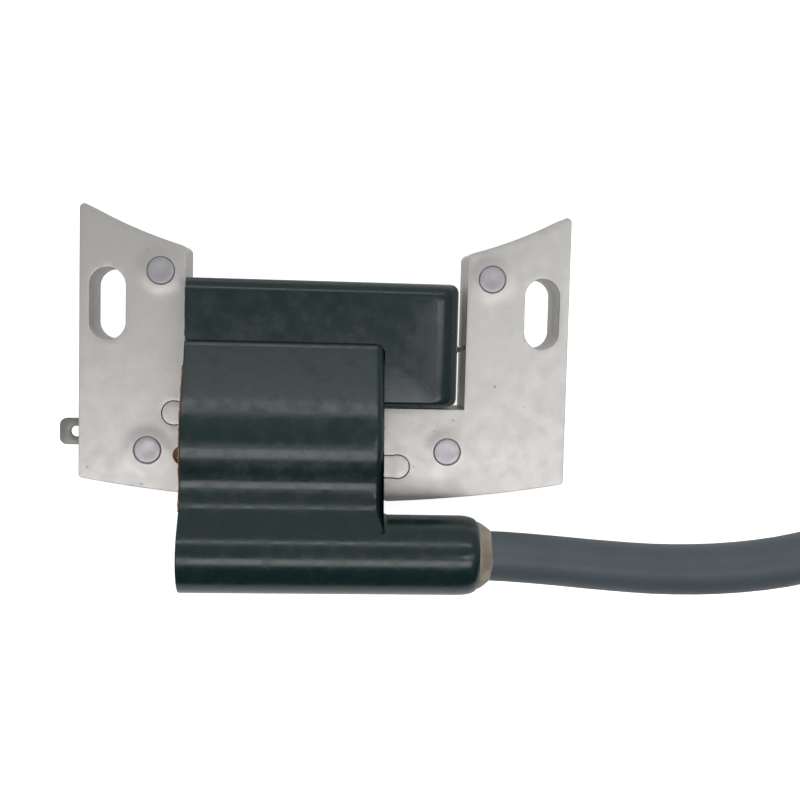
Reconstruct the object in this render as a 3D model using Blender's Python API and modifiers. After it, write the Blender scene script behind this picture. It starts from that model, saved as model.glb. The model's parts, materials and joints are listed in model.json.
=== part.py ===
"""Ignition coil of a small engine, in metres, +Z up.

The coil lies on its back, as it is laid on a bench. The rear face of its laminated core is the
plane z = 0 and bolts to the engine. The origin is midway between the two mounting slots, +Y points
to the flywheel, and the spark plug lead leaves the high-tension tower along +X.
"""

import math

import bmesh
import bpy
from mathutils import Vector

MM = 0.001

# Clearances
SHEET_GAP = 0.12 * MM  # between core pieces that are pressed together
FIT_GAP = 0.15 * MM  # between pieces that sit against each other
BAR_CLEARANCE = 0.3 * MM  # round the centre bar where it passes through the coil

# Core: two legs and a centre bar, each a stack of steel sheets
CORE_THICKNESS = 9.0 * MM
CORE_WIDTH = 73.5 * MM  # over both legs
WINDOW_WIDTH = 42.1 * MM  # between the legs
POLE_ARC_RADIUS = 77.0 * MM  # pole faces follow the flywheel
POLE_ARC_Y = 5.8 * MM  # where that arc crosses the middle
BACK_ARC_RADIUS = 210.0 * MM
BACK_ARC_Y = -29.3 * MM
FOOT_TOP_Y = -14.8 * MM  # upper edge of the right leg's foot
FOOT_REACH = 11.6 * MM  # of the foot, inwards from the leg
POLE_TIP_ROUND = 0.7 * MM
POLE_HEEL_ROUND = 1.0 * MM
OUTER_CORNER_ROUND = 0.6 * MM
FOOT_CORNER_ROUND = 1.2 * MM

BAR_TOP_Y = -14.2 * MM
BAR_HEIGHT = 11.5 * MM

TONGUE_RADIUS = 1.8 * MM  # round tongue that locks the bar into a leg
TONGUE_REACH = 1.7 * MM  # from the joint face to the tongue's centre
TONGUE_NECK = 1.9 * MM  # width where the tongue leaves the bar
TONGUE_INSET = 1.95 * MM  # from the bar's edge to the tongue's centre

SLOT_PITCH = 65.2 * MM  # between the middles of the two slots
SLOT_WIDTH = 5.3 * MM  # takes an M5 screw
SLOT_LENGTH = 10.7 * MM  # lets the air gap be set

RIVET_RADIUS = 2.0 * MM
RIVET_HEAD_RADIUS = 2.9 * MM
RIVET_HEAD_HEIGHT = 0.6 * MM
RIVET_STANDING = 0.05 * MM  # of the peened end above the core
RIVET_FLAT = 0.85  # share of the peened end's radius that is flat
RIVET_HEAD_FLAT = 0.8  # and of the head's
RIVET_UPPER_Y = 5.05 * MM
RIVET_UPPER_IN = 3.8 * MM  # from the leg's inner edge, into the leg
RIVET_LOWER_LEFT = (5.55 * MM, -21.8 * MM)  # from the leg's inner edge, and y
RIVET_LOWER_RIGHT = (-2.4 * MM, -21.35 * MM)  # this one sits in the foot

# Windings, built up from the bar outwards
BOBBIN_WALL = 0.7 * MM
PRIMARY_DEPTH = 1.6 * MM
SECONDARY_DEPTH = 2.0 * MM
FLANGE_STANDING = 0.2 * MM  # of a bobbin's flange above its winding
SECONDARY_SECTIONS = 4
BOBBIN_ROUND = 0.6 * MM
FLANGE_ROUND = 1.2 * MM
PRIMARY_ROUND = 0.9 * MM
SECONDARY_ROUND = 1.1 * MM

# Coil housing, a moulded shell that is filled with resin through its open left end
HOUSING_WALL = 1.3 * MM
HOUSING_LEG_GAP = 0.55 * MM  # from the left leg
HOUSING_FOOT_GAP = 1.05 * MM  # from the right leg's foot
HOUSING_TOP_ROOM = 1.9 * MM  # above the windings
HOUSING_REAR_ROOM = 0.7 * MM  # behind the windings
HOUSING_EDGE_ROOM = 0.9 * MM  # of the upper edge, in front of the windings
HOUSING_END_ROUND = 1.3 * MM
HOUSING_EDGE_ROUND = 0.5 * MM
HOUSING_REAR_ROUND = 1.5 * MM
RAMP_LENGTH = 13.0 * MM  # the front slopes up from the upper edge
RAMP_RISE = 5.25 * MM
CREST_ROUND = 17.0 * MM
DIP_LENGTH = 7.6 * MM  # and then dips before the tower
DIP_FALL = 1.35 * MM
DIP_ROUND = 6.0 * MM
CEILING_DROP = 1.6 * MM  # of the cavity below the front's corners

# High-tension tower, along the housing's lower edge
TOWER_BELOW = 1.9 * MM  # of its axis below the housing
TOWER_RISE = 3.9 * MM  # of its axis in front of the windings
TOWER_WALL = 2.0 * MM  # round the lead
TOWER_REACH = 13.7 * MM  # beyond the housing's right end
TOWER_END_ROUND = 1.8 * MM
TOWER_OVERLAP = 0.25 * MM  # that the housing's body runs into the tower
TOWER_BORE_DEPTH = 13.1 * MM
POCKET_RADIUS = 2.2 * MM  # behind the contact spike
POCKET_LENGTH = 11.0 * MM
PASSAGE_WIDTH = 3.4 * MM  # of the link wire's way into the pocket
PASSAGE_TOP = 0.8  # share of the pocket's radius that the passage reaches
SPIKE_WALL = 5.0 * MM  # that holds the contact spike
SPIKE_RADIUS = 0.8 * MM
SPIKE_FLANGE_RADIUS = 1.6 * MM
SPIKE_FLANGE_THICKNESS = 0.8 * MM
SPIKE_TAIL = 7.0 * MM
SPIKE_TIP = 2.2 * MM
SPIKE_POINT = 0.3  # share of the spike's radius at its point
LINK_RADIUS = 0.3 * MM
LINK_IN = 2.2 * MM  # from the pocket's closed end
LINK_LIFT = 0.8 * MM  # above the windings' clearance
LINK_STEP = 0.7 * MM
FEED_Z = 8.0 * MM  # of the two wires from the module to the coil
FEED_RADIUS = 0.45 * MM
FEED_IN = (8.0 * MM, 14.0 * MM)  # from the housing's left end
FEED_TAIL = 0.6 * MM  # inside the module

# Electronic module, an L-shaped box beside and above the coil
MODULE_TOP_Y = 4.05 * MM
MODULE_FRONT_Z = 15.2 * MM
MODULE_LEG_GAP = 1.65 * MM  # from the right leg
MODULE_FOOT_GAP = 0.6 * MM
MODULE_WALL = 1.2 * MM
MODULE_EDGE_ROUND = 1.1 * MM
MODULE_CORNER_ROUND = 1.5 * MM
RESIN_DEPTH = 2.4 * MM  # of the module's filling at its open back
BOARD_THICKNESS = 1.2 * MM
BOARD_INSET = 0.4 * MM
CHIP_SIZE = (6.4 * MM, 6.2 * MM, 2.3 * MM)
CHIP_RISE = 6.0 * MM  # of the transistor's middle from the module's foot
CHIP_ROUND = 0.25 * MM
CHIP_TAB_SIZE = (5.4 * MM, 1.3 * MM, 0.7 * MM)
CAN_RADIUS = 2.2 * MM
CAN_HEIGHT = 6.5 * MM
CAN_ROUND = 0.3 * MM
AXIAL_LENGTH = 5.2 * MM  # of the resistors and the diode
AXIAL_WAIST = 0.85  # share of their end radius
RESISTOR_RADIUS = 0.9 * MM
DIODE_RADIUS = 1.1 * MM
RIB_SIZE = (3.0 * MM, 0.6 * MM, 4.0 * MM)  # moulded locating rib against the right leg
RIB_TURN = math.radians(38)
RIB_Y = -6.0 * MM
RIB_BACK = 0.2 * MM  # of the rib's middle from touching the leg
RIB_DROP = 2.2 * MM  # of its middle from the core's front

# Terminals
TAB_WIDTH = 4.2 * MM
TAB_THICKNESS = 0.8 * MM
TAB_Y = -20.3 * MM
TAB_REACH = 5.15 * MM  # beyond the left leg
TAB_DEPTH = 1.9 * MM  # behind the core
TAB_HOLE_RADIUS = 0.87 * MM
TAB_HOLE_IN = 2.6 * MM
TAB_CORNER_ROUND = 1.1 * MM
STRAP_THICKNESS = 0.45 * MM
STRAP_WIDTH = 1.8 * MM
STRAP_EDGE = 0.1 * MM  # that the eye round the rivet stands out past the strap
PAD_SIZE = (5.0 * MM, 5.6 * MM)
PAD_IN = 0.6 * MM  # from the leg's outer edge
PAD_ROUND = 0.25 * MM

# Spark plug lead, laid on the surface that the housing's back rests on
LEAD_RADIUS = 3.6 * MM
LEAD_TURN_RADIUS = 33.0 * MM
LEAD_STEP = 8.0 * MM
SEALANT_LENGTH = 2.9 * MM
SEALANT_DEPTH = 1.4 * MM  # over the lead
SEALANT_EDGE = 0.25 * MM  # its thickness at its outer end
SEALANT_SHOULDER = (0.93, 0.45)  # shares of its radius and its length

# Spark plug boot
BOOT_RADIUS = 7.0 * MM
BOOT_LENGTH = 38.0 * MM
BOOT_GRIP = 14.0 * MM  # length that holds the lead
BOOT_NECK = 3.0 * MM
BOOT_SOCKET_RADIUS = 4.6 * MM
BOOT_BEAD = 4.0 * MM  # length of the thick lip at its mouth
BOOT_BEAD_FADE = 1.5 * MM
BOOT_LIP = 1.0 * MM
BOOT_BODY = 0.9  # the body's, waist's, entry's and lip's shares of its radius
BOOT_WAIST = 0.8
BOOT_ENTRY = 0.68
BOOT_MOUTH = 0.94
BOOT_ENTRY_LENGTH = 3.0 * MM
BOOT_STEP = 2.0 * MM  # from the waist's end to the lead's
CLIP_RADIUS = 3.9 * MM
CLIP_WALL = 0.5 * MM
CLIP_LENGTH = 11.0 * MM
STUD_RADIUS = 1.1 * MM

# Worked out from the above
CORE_MIDDLE_Z = CORE_THICKNESS / 2
LEG_INNER_X = WINDOW_WIDTH / 2
LEG_OUTER_X = CORE_WIDTH / 2
SLOT_X = SLOT_PITCH / 2
FOOT_END_X = LEG_INNER_X - FOOT_REACH
BAR_MIDDLE_Y = BAR_TOP_Y - BAR_HEIGHT / 2
BAR_HALF = Vector((BAR_HEIGHT / 2, CORE_THICKNESS / 2))
LEFT_TONGUE_Y = BAR_TOP_Y - TONGUE_INSET
RIGHT_TONGUE_Y = BAR_TOP_Y - BAR_HEIGHT + TONGUE_INSET
LEFT_RIVETS = {
    "upper": (-LEG_INNER_X - RIVET_UPPER_IN, RIVET_UPPER_Y),
    "lower": (-LEG_INNER_X - RIVET_LOWER_LEFT[0], RIVET_LOWER_LEFT[1]),
}
RIGHT_RIVETS = {
    "upper": (LEG_INNER_X + RIVET_UPPER_IN, RIVET_UPPER_Y),
    "lower": (LEG_INNER_X + RIVET_LOWER_RIGHT[0], RIVET_LOWER_RIGHT[1]),
}
PRIMARY_INNER = BAR_HALF + Vector((BAR_CLEARANCE,) * 2)
PRIMARY_CORE = PRIMARY_INNER + Vector((BOBBIN_WALL,) * 2)
PRIMARY_WOUND = PRIMARY_CORE + Vector((PRIMARY_DEPTH,) * 2)
PRIMARY_FLANGE = PRIMARY_WOUND + Vector((FLANGE_STANDING,) * 2)
SECONDARY_INNER = PRIMARY_FLANGE + Vector((BAR_CLEARANCE,) * 2)
SECONDARY_CORE = SECONDARY_INNER + Vector((BOBBIN_WALL,) * 2)
SECONDARY_WOUND = SECONDARY_CORE + Vector((SECONDARY_DEPTH,) * 2)
SECONDARY_FLANGE = SECONDARY_WOUND + Vector((FLANGE_STANDING,) * 2)
COIL_FRONT_Z = CORE_MIDDLE_Z + SECONDARY_FLANGE.y
COIL_REAR_Z = CORE_MIDDLE_Z - SECONDARY_FLANGE.y

HOUSING_LEFT_X = HOUSING_LEG_GAP - LEG_INNER_X
HOUSING_RIGHT_X = FOOT_END_X - HOUSING_FOOT_GAP
COIL_TOP_Y = BAR_MIDDLE_Y + SECONDARY_FLANGE.x
HOUSING_TOP_Y = COIL_TOP_Y + HOUSING_TOP_ROOM + HOUSING_WALL
HOUSING_BOTTOM_Y = BAR_MIDDLE_Y - SECONDARY_FLANGE.x - BAR_CLEARANCE - HOUSING_WALL
HOUSING_REAR_Z = COIL_REAR_Z - HOUSING_REAR_ROOM - HOUSING_WALL
HOUSING_EDGE_Z = COIL_FRONT_Z + HOUSING_EDGE_ROOM
TOWER_RADIUS = LEAD_RADIUS + FIT_GAP + TOWER_WALL
TOWER_Y = HOUSING_BOTTOM_Y - TOWER_BELOW
TOWER_Z = COIL_FRONT_Z + TOWER_RISE
TOWER_END_X = HOUSING_RIGHT_X + TOWER_REACH
BORE_START_X = TOWER_END_X - TOWER_BORE_DEPTH
POCKET_RIGHT_X = BORE_START_X - SPIKE_WALL
LINK_X = POCKET_RIGHT_X - POCKET_LENGTH + LINK_IN
CAVITY_RIGHT_X = HOUSING_RIGHT_X - HOUSING_WALL

MODULE_LEFT_X = HOUSING_LEFT_X
MODULE_RIGHT_X = LEG_INNER_X - MODULE_LEG_GAP
MODULE_FOOT_Y = FOOT_TOP_Y + MODULE_FOOT_GAP
MODULE_STEP_Y = HOUSING_TOP_Y + FIT_GAP
MODULE_STEP_X = HOUSING_RIGHT_X + FIT_GAP
BOARD_Z = RESIN_DEPTH + FIT_GAP
BOARD_FRONT_Z = BOARD_Z + BOARD_THICKNESS
FEED_START_Y = MODULE_STEP_Y + MODULE_WALL + FEED_TAIL
FEED_LENGTH = FEED_START_Y - COIL_TOP_Y - BAR_CLEARANCE
FEED_PLACES = [HOUSING_LEFT_X + reach for reach in FEED_IN]  # along X

TAB_Z = -TAB_DEPTH - TAB_THICKNESS / 2
STRAP_Z = -FIT_GAP - STRAP_THICKNESS / 2
STRAP_Y = RIVET_LOWER_LEFT[1] - RIVET_HEAD_RADIUS + STRAP_WIDTH / 2 + STRAP_EDGE
TERMINAL_END_X = HOUSING_LEFT_X + HOUSING_WALL - FIT_GAP

FLOOR_Z = HOUSING_REAR_Z
LEAD_FLOOR_Z = FLOOR_Z + LEAD_RADIUS
BOOT_Z = FLOOR_Z + BOOT_RADIUS
ACROSS_X = (math.radians(90), 0, math.radians(90))  # turns local x, y, z to world y, z, x
ALONG_MINUS_X = (0, math.radians(-90), 0)  # turns local z to world -x
DOWN_Y = (math.radians(90), 0, 0)  # turns local z to world -y


def clear_scene():
    for obj in list(bpy.data.objects):
        bpy.data.objects.remove(obj, do_unlink=True)


def collection(name):
    made = bpy.data.collections.new(name)
    bpy.context.scene.collection.children.link(made)
    return made


def material(name, colour, roughness, metallic=0.0):
    made = bpy.data.materials.new(name)
    made.use_nodes = True
    shader = made.node_tree.nodes["Principled BSDF"]
    shader.inputs["Base Color"].default_value = (*colour, 1.0)
    shader.inputs["Roughness"].default_value = roughness
    shader.inputs["Metallic"].default_value = metallic
    return made


def empty(name, location, parent=None):
    made = bpy.data.objects.new(name, None)
    made.location = location
    made.parent = parent
    PARTS.objects.link(made)
    return made


def place(obj, parent, location=(0, 0, 0), rotation=(0, 0, 0)):
    obj.parent = parent
    obj.location = location
    obj.rotation_euler = rotation
    return obj


def mesh_object(name, bm, finish):
    bmesh.ops.recalc_face_normals(bm, faces=bm.faces)
    mesh = bpy.data.meshes.new(name)
    bm.to_mesh(mesh)
    bm.free()
    mesh.materials.append(finish)
    made = bpy.data.objects.new(name, mesh)
    PARTS.objects.link(made)
    return made


def smooth(obj, degrees=35):
    obj.data.shade_smooth()
    obj.data.set_sharp_from_angle(angle=math.radians(degrees))
    return obj


def box(name, size, finish, round_by=0.0):
    """A box centred on its own origin."""
    bm = bmesh.new()
    bmesh.ops.create_cube(bm, size=1)
    bmesh.ops.scale(bm, vec=size, verts=bm.verts)
    if round_by:
        bmesh.ops.bevel(bm, geom=bm.edges[:], offset=round_by, segments=2, affect="EDGES", profile=0.5)
    return mesh_object(name, bm, finish)


def rod(name, radius, length, finish, sides=20):
    """A cylinder from its own origin along +Z."""
    bm = bmesh.new()
    bmesh.ops.create_cone(
        bm, cap_ends=True, segments=sides, radius1=radius, radius2=radius, depth=length
    )
    bmesh.ops.translate(bm, vec=(0, 0, length / 2), verts=bm.verts)
    return smooth(mesh_object(name, bm, finish))


def plate(name, loops, thickness, finish, round_top=0.0):
    """A flat outline with holes, with its lower face at its own z = 0, extruded along +Z."""
    curve = bpy.data.curves.new(name, "CURVE")
    curve.dimensions = "2D"
    curve.fill_mode = "BOTH"
    curve.extrude = thickness / 2
    for loop in loops:
        spline = curve.splines.new("POLY")
        spline.points.add(len(loop) - 1)
        for point, (x, y) in zip(spline.points, loop):
            point.co = (x, y, 0, 1)
        spline.use_cyclic_u = True
    flat = bpy.data.objects.new(name + "_outline", curve)
    PARTS.objects.link(flat)
    graph = bpy.context.evaluated_depsgraph_get()
    mesh = bpy.data.meshes.new_from_object(flat.evaluated_get(graph))
    bpy.data.objects.remove(flat, do_unlink=True)
    bpy.data.curves.remove(curve)
    bm = bmesh.new()
    bm.from_mesh(mesh)
    bpy.data.meshes.remove(mesh)
    bmesh.ops.remove_doubles(bm, verts=bm.verts, dist=0.0005 * MM)
    bmesh.ops.translate(bm, vec=(0, 0, thickness / 2), verts=bm.verts)
    if round_top:
        top = [
            edge
            for edge in bm.edges
            if all(v.co.z > thickness * 0.99 for v in edge.verts)
            and any(f.normal.z < 0.5 for f in edge.link_faces)
        ]
        bmesh.ops.dissolve_limit(
            bm, angle_limit=0.001, verts=bm.verts, edges=bm.edges, delimit={"NORMAL"}
        )
        top = [edge for edge in top if edge.is_valid]
        bmesh.ops.bevel(bm, geom=top, offset=round_top, segments=3, affect="EDGES", profile=0.5)
    return smooth(mesh_object(name, bm, finish))


def turned(name, profile, finish, steps=24, closed=False):
    """A profile of (radius, z) turned round Z: down its outer side from the top, and back up inside."""
    bm = bmesh.new()
    corners = [bm.verts.new((radius, 0, z)) for radius, z in profile]
    for first, second in zip(corners, corners[1:]):
        bm.edges.new((first, second))
    if closed:
        bm.edges.new((corners[-1], corners[0]))
    mesh = bpy.data.meshes.new(name)
    bm.to_mesh(mesh)
    bm.free()
    mesh.materials.append(finish)
    made = bpy.data.objects.new(name, mesh)
    PARTS.objects.link(made)
    screw = made.modifiers.new("Turn", "SCREW")
    screw.steps = steps
    screw.render_steps = steps
    screw.use_merge_vertices = True
    screw.merge_threshold = 0.00001
    screw.use_smooth_shade = True
    return made


def tube(name, points, radius, finish):
    """A round wire or lead through points in world places."""
    curve = bpy.data.curves.new(name, "CURVE")
    curve.dimensions = "3D"
    curve.bevel_depth = radius
    curve.bevel_resolution = 2
    curve.use_fill_caps = True
    spline = curve.splines.new("POLY")
    spline.points.add(len(points) - 1)
    for point, where in zip(spline.points, points):
        point.co = (*where, 1)
    curve.materials.append(finish)
    made = bpy.data.objects.new(name, curve)
    PARTS.objects.link(made)
    return made


def hide(helper):
    """Makes an object a cutter or a joined-on shape, which isn't a piece of its own."""
    PARTS.objects.unlink(helper)
    CUTTERS.objects.link(helper)
    helper.hide_render = True
    helper.display_type = "WIRE"
    return helper


def combine(target, helper, operation):
    step = target.modifiers.new(helper.name, "BOOLEAN")
    step.operation = operation
    step.solver = "EXACT"
    step.object = hide(helper)


def cut(target, helper):
    combine(target, helper, "DIFFERENCE")


def join(target, helper):
    combine(target, helper, "UNION")


def arc(centre, radius, start, end, steps):
    """Points round a centre from one angle to another, in degrees."""
    angles = [math.radians(start + (end - start) * i / steps) for i in range(steps + 1)]
    return [(centre[0] + radius * math.cos(a), centre[1] + radius * math.sin(a)) for a in angles]


def circle(centre, radius, sides=24):
    return arc(centre, radius, 0, 360 * (sides - 1) / sides, sides - 1)


def rounded(corners, steps=4):
    """An outline through corners of (x, y, radius), each rounded by its radius."""
    outline = []
    for i, (x, y, radius) in enumerate(corners):
        if radius == 0:
            outline.append((x, y))
            continue
        here = Vector((x, y))
        back = (Vector(corners[i - 1][:2]) - here).normalized()
        ahead = (Vector(corners[(i + 1) % len(corners)][:2]) - here).normalized()
        half = back.angle(ahead) / 2
        centre = here + (back + ahead).normalized() * (radius / math.sin(half))
        start = here + back * (radius / math.tan(half)) - centre
        end = here + ahead * (radius / math.tan(half)) - centre
        turn = math.atan2(start.x * end.y - start.y * end.x, start.dot(end))
        first = math.atan2(start.y, start.x)
        for k in range(steps + 1):
            angle = first + turn * k / steps
            outline.append((centre.x + radius * math.cos(angle), centre.y + radius * math.sin(angle)))
    return outline


def rectangle(half, middle=(0, 0), radius=0.0, grow=0.0):
    """A rectangle about its middle, with half sizes that grow by a margin."""
    w, h = half[0] + grow, half[1] + grow
    corners = [(w, h), (-w, h), (-w, -h), (w, -h)]
    return rounded([(middle[0] + x, middle[1] + y, radius) for x, y in corners], 3)


# Core


def pole_y(x):
    return POLE_ARC_Y + POLE_ARC_RADIUS - math.sqrt(POLE_ARC_RADIUS**2 - x * x)


def back_y(x):
    return BACK_ARC_Y + BACK_ARC_RADIUS - math.sqrt(BACK_ARC_RADIUS**2 - x * x)


def along(rule, start, end, steps=7):
    """Points between two ends, without the ends, at heights that a rule of x gives."""
    places = [start + (end - start) * i / steps for i in range(1, steps)]
    return [(x, rule(x), 0) for x in places]


def tongue(face_x, side, middle_y, grow=0.0):
    """A locking tongue's corners from its lower to its upper neck, pointing to one side of a face."""
    radius = TONGUE_RADIUS + grow
    neck = TONGUE_NECK / 2 + grow
    lean = math.degrees(math.asin(neck / radius))
    centre = (face_x + side * TONGUE_REACH, middle_y)
    if side > 0:
        points = arc(centre, radius, lean - 180, 180 - lean, 14)
    else:
        points = arc(centre, radius, -lean, lean - 360, 14)
    whole = [(face_x, middle_y - neck), *points, (face_x, middle_y + neck)]
    return [(x, y, 0) for x, y in whole]


def slot(side):
    half = SLOT_WIDTH / 2
    rise = (SLOT_LENGTH - SLOT_WIDTH) / 2
    centre_x = side * SLOT_X
    return arc((centre_x, rise), half, 0, 180, 10) + arc((centre_x, -rise), half, 180, 360, 10)


def rivet_holes(rivets):
    return [circle(centre, RIVET_RADIUS + SHEET_GAP, 20) for centre in rivets.values()]


def left_leg():
    outline = rounded(
        [
            (-LEG_OUTER_X, back_y(LEG_OUTER_X), OUTER_CORNER_ROUND),
            *along(back_y, -LEG_OUTER_X, -LEG_INNER_X),
            (-LEG_INNER_X, back_y(LEG_INNER_X), 0),
            *tongue(-LEG_INNER_X, -1, LEFT_TONGUE_Y, SHEET_GAP),
            (-LEG_INNER_X, pole_y(LEG_INNER_X), POLE_HEEL_ROUND),
            *along(pole_y, -LEG_INNER_X, -LEG_OUTER_X),
            (-LEG_OUTER_X, pole_y(LEG_OUTER_X), POLE_TIP_ROUND),
        ]
    )
    loops = [outline, slot(-1), *rivet_holes(LEFT_RIVETS)]
    return place(plate("left_leg_laminations", loops, CORE_THICKNESS, CORE_STEEL), CORE)


def right_leg():
    outline = rounded(
        [
            (FOOT_END_X, back_y(FOOT_END_X), FOOT_CORNER_ROUND),
            *along(back_y, FOOT_END_X, LEG_OUTER_X, 10),
            (LEG_OUTER_X, back_y(LEG_OUTER_X), OUTER_CORNER_ROUND),
            (LEG_OUTER_X, pole_y(LEG_OUTER_X), POLE_TIP_ROUND),
            *along(pole_y, LEG_OUTER_X, LEG_INNER_X),
            (LEG_INNER_X, pole_y(LEG_INNER_X), POLE_HEEL_ROUND),
            (LEG_INNER_X, FOOT_TOP_Y, 0),
            (FOOT_END_X, FOOT_TOP_Y, 0),
            *reversed(tongue(FOOT_END_X, 1, RIGHT_TONGUE_Y, SHEET_GAP)),
        ]
    )
    loops = [outline, slot(1), *rivet_holes(RIGHT_RIVETS)]
    return place(plate("right_leg_laminations", loops, CORE_THICKNESS, CORE_STEEL), CORE)


def centre_bar():
    left_x = SHEET_GAP - LEG_INNER_X
    right_x = FOOT_END_X - SHEET_GAP
    bottom_y = BAR_TOP_Y - BAR_HEIGHT
    outline = [
        (left_x, bottom_y, 0),
        (right_x, bottom_y, 0),
        *tongue(right_x, 1, RIGHT_TONGUE_Y),
        (right_x, BAR_TOP_Y, 0),
        (left_x, BAR_TOP_Y, 0),
        *reversed(tongue(left_x, -1, LEFT_TONGUE_Y)),
    ]
    loops = [[(x, y) for x, y, _ in outline]]
    return place(plate("centre_bar_laminations", loops, CORE_THICKNESS, CORE_STEEL), CORE)


def rivet_profile(head_top):
    """A rivet whose end is peened flush in front, with its head behind the core."""
    top = CORE_THICKNESS + RIVET_STANDING
    return [
        (0, top),
        (RIVET_RADIUS * RIVET_FLAT, top),
        (RIVET_RADIUS, top - 2 * RIVET_STANDING),
        (RIVET_RADIUS, head_top),
        (RIVET_HEAD_RADIUS, head_top),
        (RIVET_HEAD_RADIUS, head_top - RIVET_HEAD_HEIGHT / 2),
        (RIVET_HEAD_RADIUS * RIVET_HEAD_FLAT, head_top - RIVET_HEAD_HEIGHT),
        (0, head_top - RIVET_HEAD_HEIGHT),
    ]


def rivets():
    """Four rivets. The lower left one also holds the ground strap."""
    strap_room = STRAP_THICKNESS + FIT_GAP
    for side, places in (("left", LEFT_RIVETS), ("right", RIGHT_RIVETS)):
        for level, (x, y) in places.items():
            over_strap = (side, level) == ("left", "lower")
            profile = rivet_profile(-FIT_GAP - (strap_room if over_strap else 0))
            rivet = turned(f"rivet_{level}_{side}", profile, RIVET_STEEL, 20)
            place(rivet, CORE, (x, y, 0))


# Windings. Their empty is at the middle of the centre bar's section.


def coil_ends():
    """Where the bobbins start and stop along X."""
    left = HOUSING_LEFT_X + HOUSING_WALL + FIT_GAP
    return left, CAVITY_RIGHT_X - BAR_CLEARANCE


def ring(name, inner, outer, start, length, finish, corner):
    loops = [rectangle(outer, radius=corner), rectangle(inner)]
    return place(plate(name, loops, length, finish), WINDINGS, (start, 0, 0), ACROSS_X)


def bobbin(name, inner, core, flange, sections, finish):
    """A rectangular former with a flange at each end and one between each two sections."""
    start, end = coil_ends()
    body = ring(name, inner, core, start, end - start, finish, BOBBIN_ROUND)
    pitch = (end - start - BOBBIN_WALL) / sections
    for i in range(sections + 1):
        inside = [value - BOBBIN_WALL / 2 for value in core]
        at = start + i * pitch
        disc = ring(f"{name}_flange_{i}", inside, flange, at, BOBBIN_WALL, finish, FLANGE_ROUND)
        join(body, disc)
    return body


def windings():
    start, end = coil_ends()
    bobbin("primary_bobbin", PRIMARY_INNER, PRIMARY_CORE, PRIMARY_FLANGE, 1, BOBBIN_PLASTIC)
    gap = Vector((FIT_GAP,) * 2)
    first = start + BOBBIN_WALL + FIT_GAP
    length = end - start - 2 * (BOBBIN_WALL + FIT_GAP)
    inner = PRIMARY_CORE + gap
    ring("primary_winding", inner, PRIMARY_WOUND, first, length, COPPER, PRIMARY_ROUND)
    bobbin(
        "secondary_bobbin",
        SECONDARY_INNER,
        SECONDARY_CORE,
        SECONDARY_FLANGE,
        SECONDARY_SECTIONS,
        BOBBIN_PLASTIC,
    )
    pitch = (end - start - BOBBIN_WALL) / SECONDARY_SECTIONS
    for i in range(SECONDARY_SECTIONS):
        ring(
            f"secondary_winding_{i + 1}",
            SECONDARY_CORE + gap,
            SECONDARY_WOUND,
            start + i * pitch + BOBBIN_WALL + FIT_GAP,
            pitch - BOBBIN_WALL - 2 * FIT_GAP,
            COPPER,
            SECONDARY_ROUND,
        )


# Coil housing


def tangent_point(start, centre, radius):
    """Where a line from start touches a circle, on its front side."""
    reach = centre - start
    lean = math.asin(radius / reach.length)
    turn = math.atan2(reach.y, reach.x) - lean
    length = math.sqrt(reach.length**2 - radius**2)
    return start + Vector((math.cos(turn), math.sin(turn))) * length


def front_corners():
    """The front's corners, (y, z): upper edge, crest and dip."""
    edge = Vector((HOUSING_TOP_Y, HOUSING_EDGE_Z))
    crest = edge + Vector((-RAMP_LENGTH, RAMP_RISE))
    dip = crest + Vector((-DIP_LENGTH, -DIP_FALL))
    return edge, crest, dip


def housing_outline():
    """The housing's body in section, (y, z). It runs a little way into the tower."""
    edge, crest, dip = front_corners()
    tower = Vector((TOWER_Y, TOWER_Z))
    touch = tangent_point(dip, tower, TOWER_RADIUS - TOWER_OVERLAP)
    return rounded(
        [
            (*edge, HOUSING_EDGE_ROUND),
            (*crest, CREST_ROUND),
            (*dip, DIP_ROUND),
            (*touch, 0),
            (*tower, 0),
            (HOUSING_BOTTOM_Y, TOWER_Z, 0),
            (HOUSING_BOTTOM_Y, HOUSING_REAR_Z, HOUSING_REAR_ROUND),
            (HOUSING_TOP_Y, HOUSING_REAR_Z, HOUSING_REAR_ROUND),
        ],
        6,
    )


def cavity_outline(shrink=0.0):
    edge, crest, dip = front_corners()
    top_y = HOUSING_TOP_Y - HOUSING_WALL - shrink
    bottom_y = HOUSING_BOTTOM_Y + HOUSING_WALL + shrink
    rear_z = HOUSING_REAR_Z + HOUSING_WALL + shrink
    drop = CEILING_DROP + shrink
    return [
        (top_y, rear_z),
        (top_y, edge.y - drop + HOUSING_WALL * RAMP_RISE / RAMP_LENGTH),
        (crest.x, crest.y - drop),
        (dip.x, dip.y - drop),
        (bottom_y, dip.y - drop),
        (bottom_y, rear_z),
    ]


def cut_feed_holes(body, parent, name):
    """The two wires' holes, from the module's inside to the coil's."""
    for i, x in enumerate(FEED_PLACES):
        radius = FEED_RADIUS + BAR_CLEARANCE
        hole = rod(f"{name}_feed_hole_{i + 1}", radius, FEED_LENGTH, HOUSING_PLASTIC, 12)
        cut(body, place(hole, parent, (x, FEED_START_Y, FEED_Z), DOWN_Y))


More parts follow.
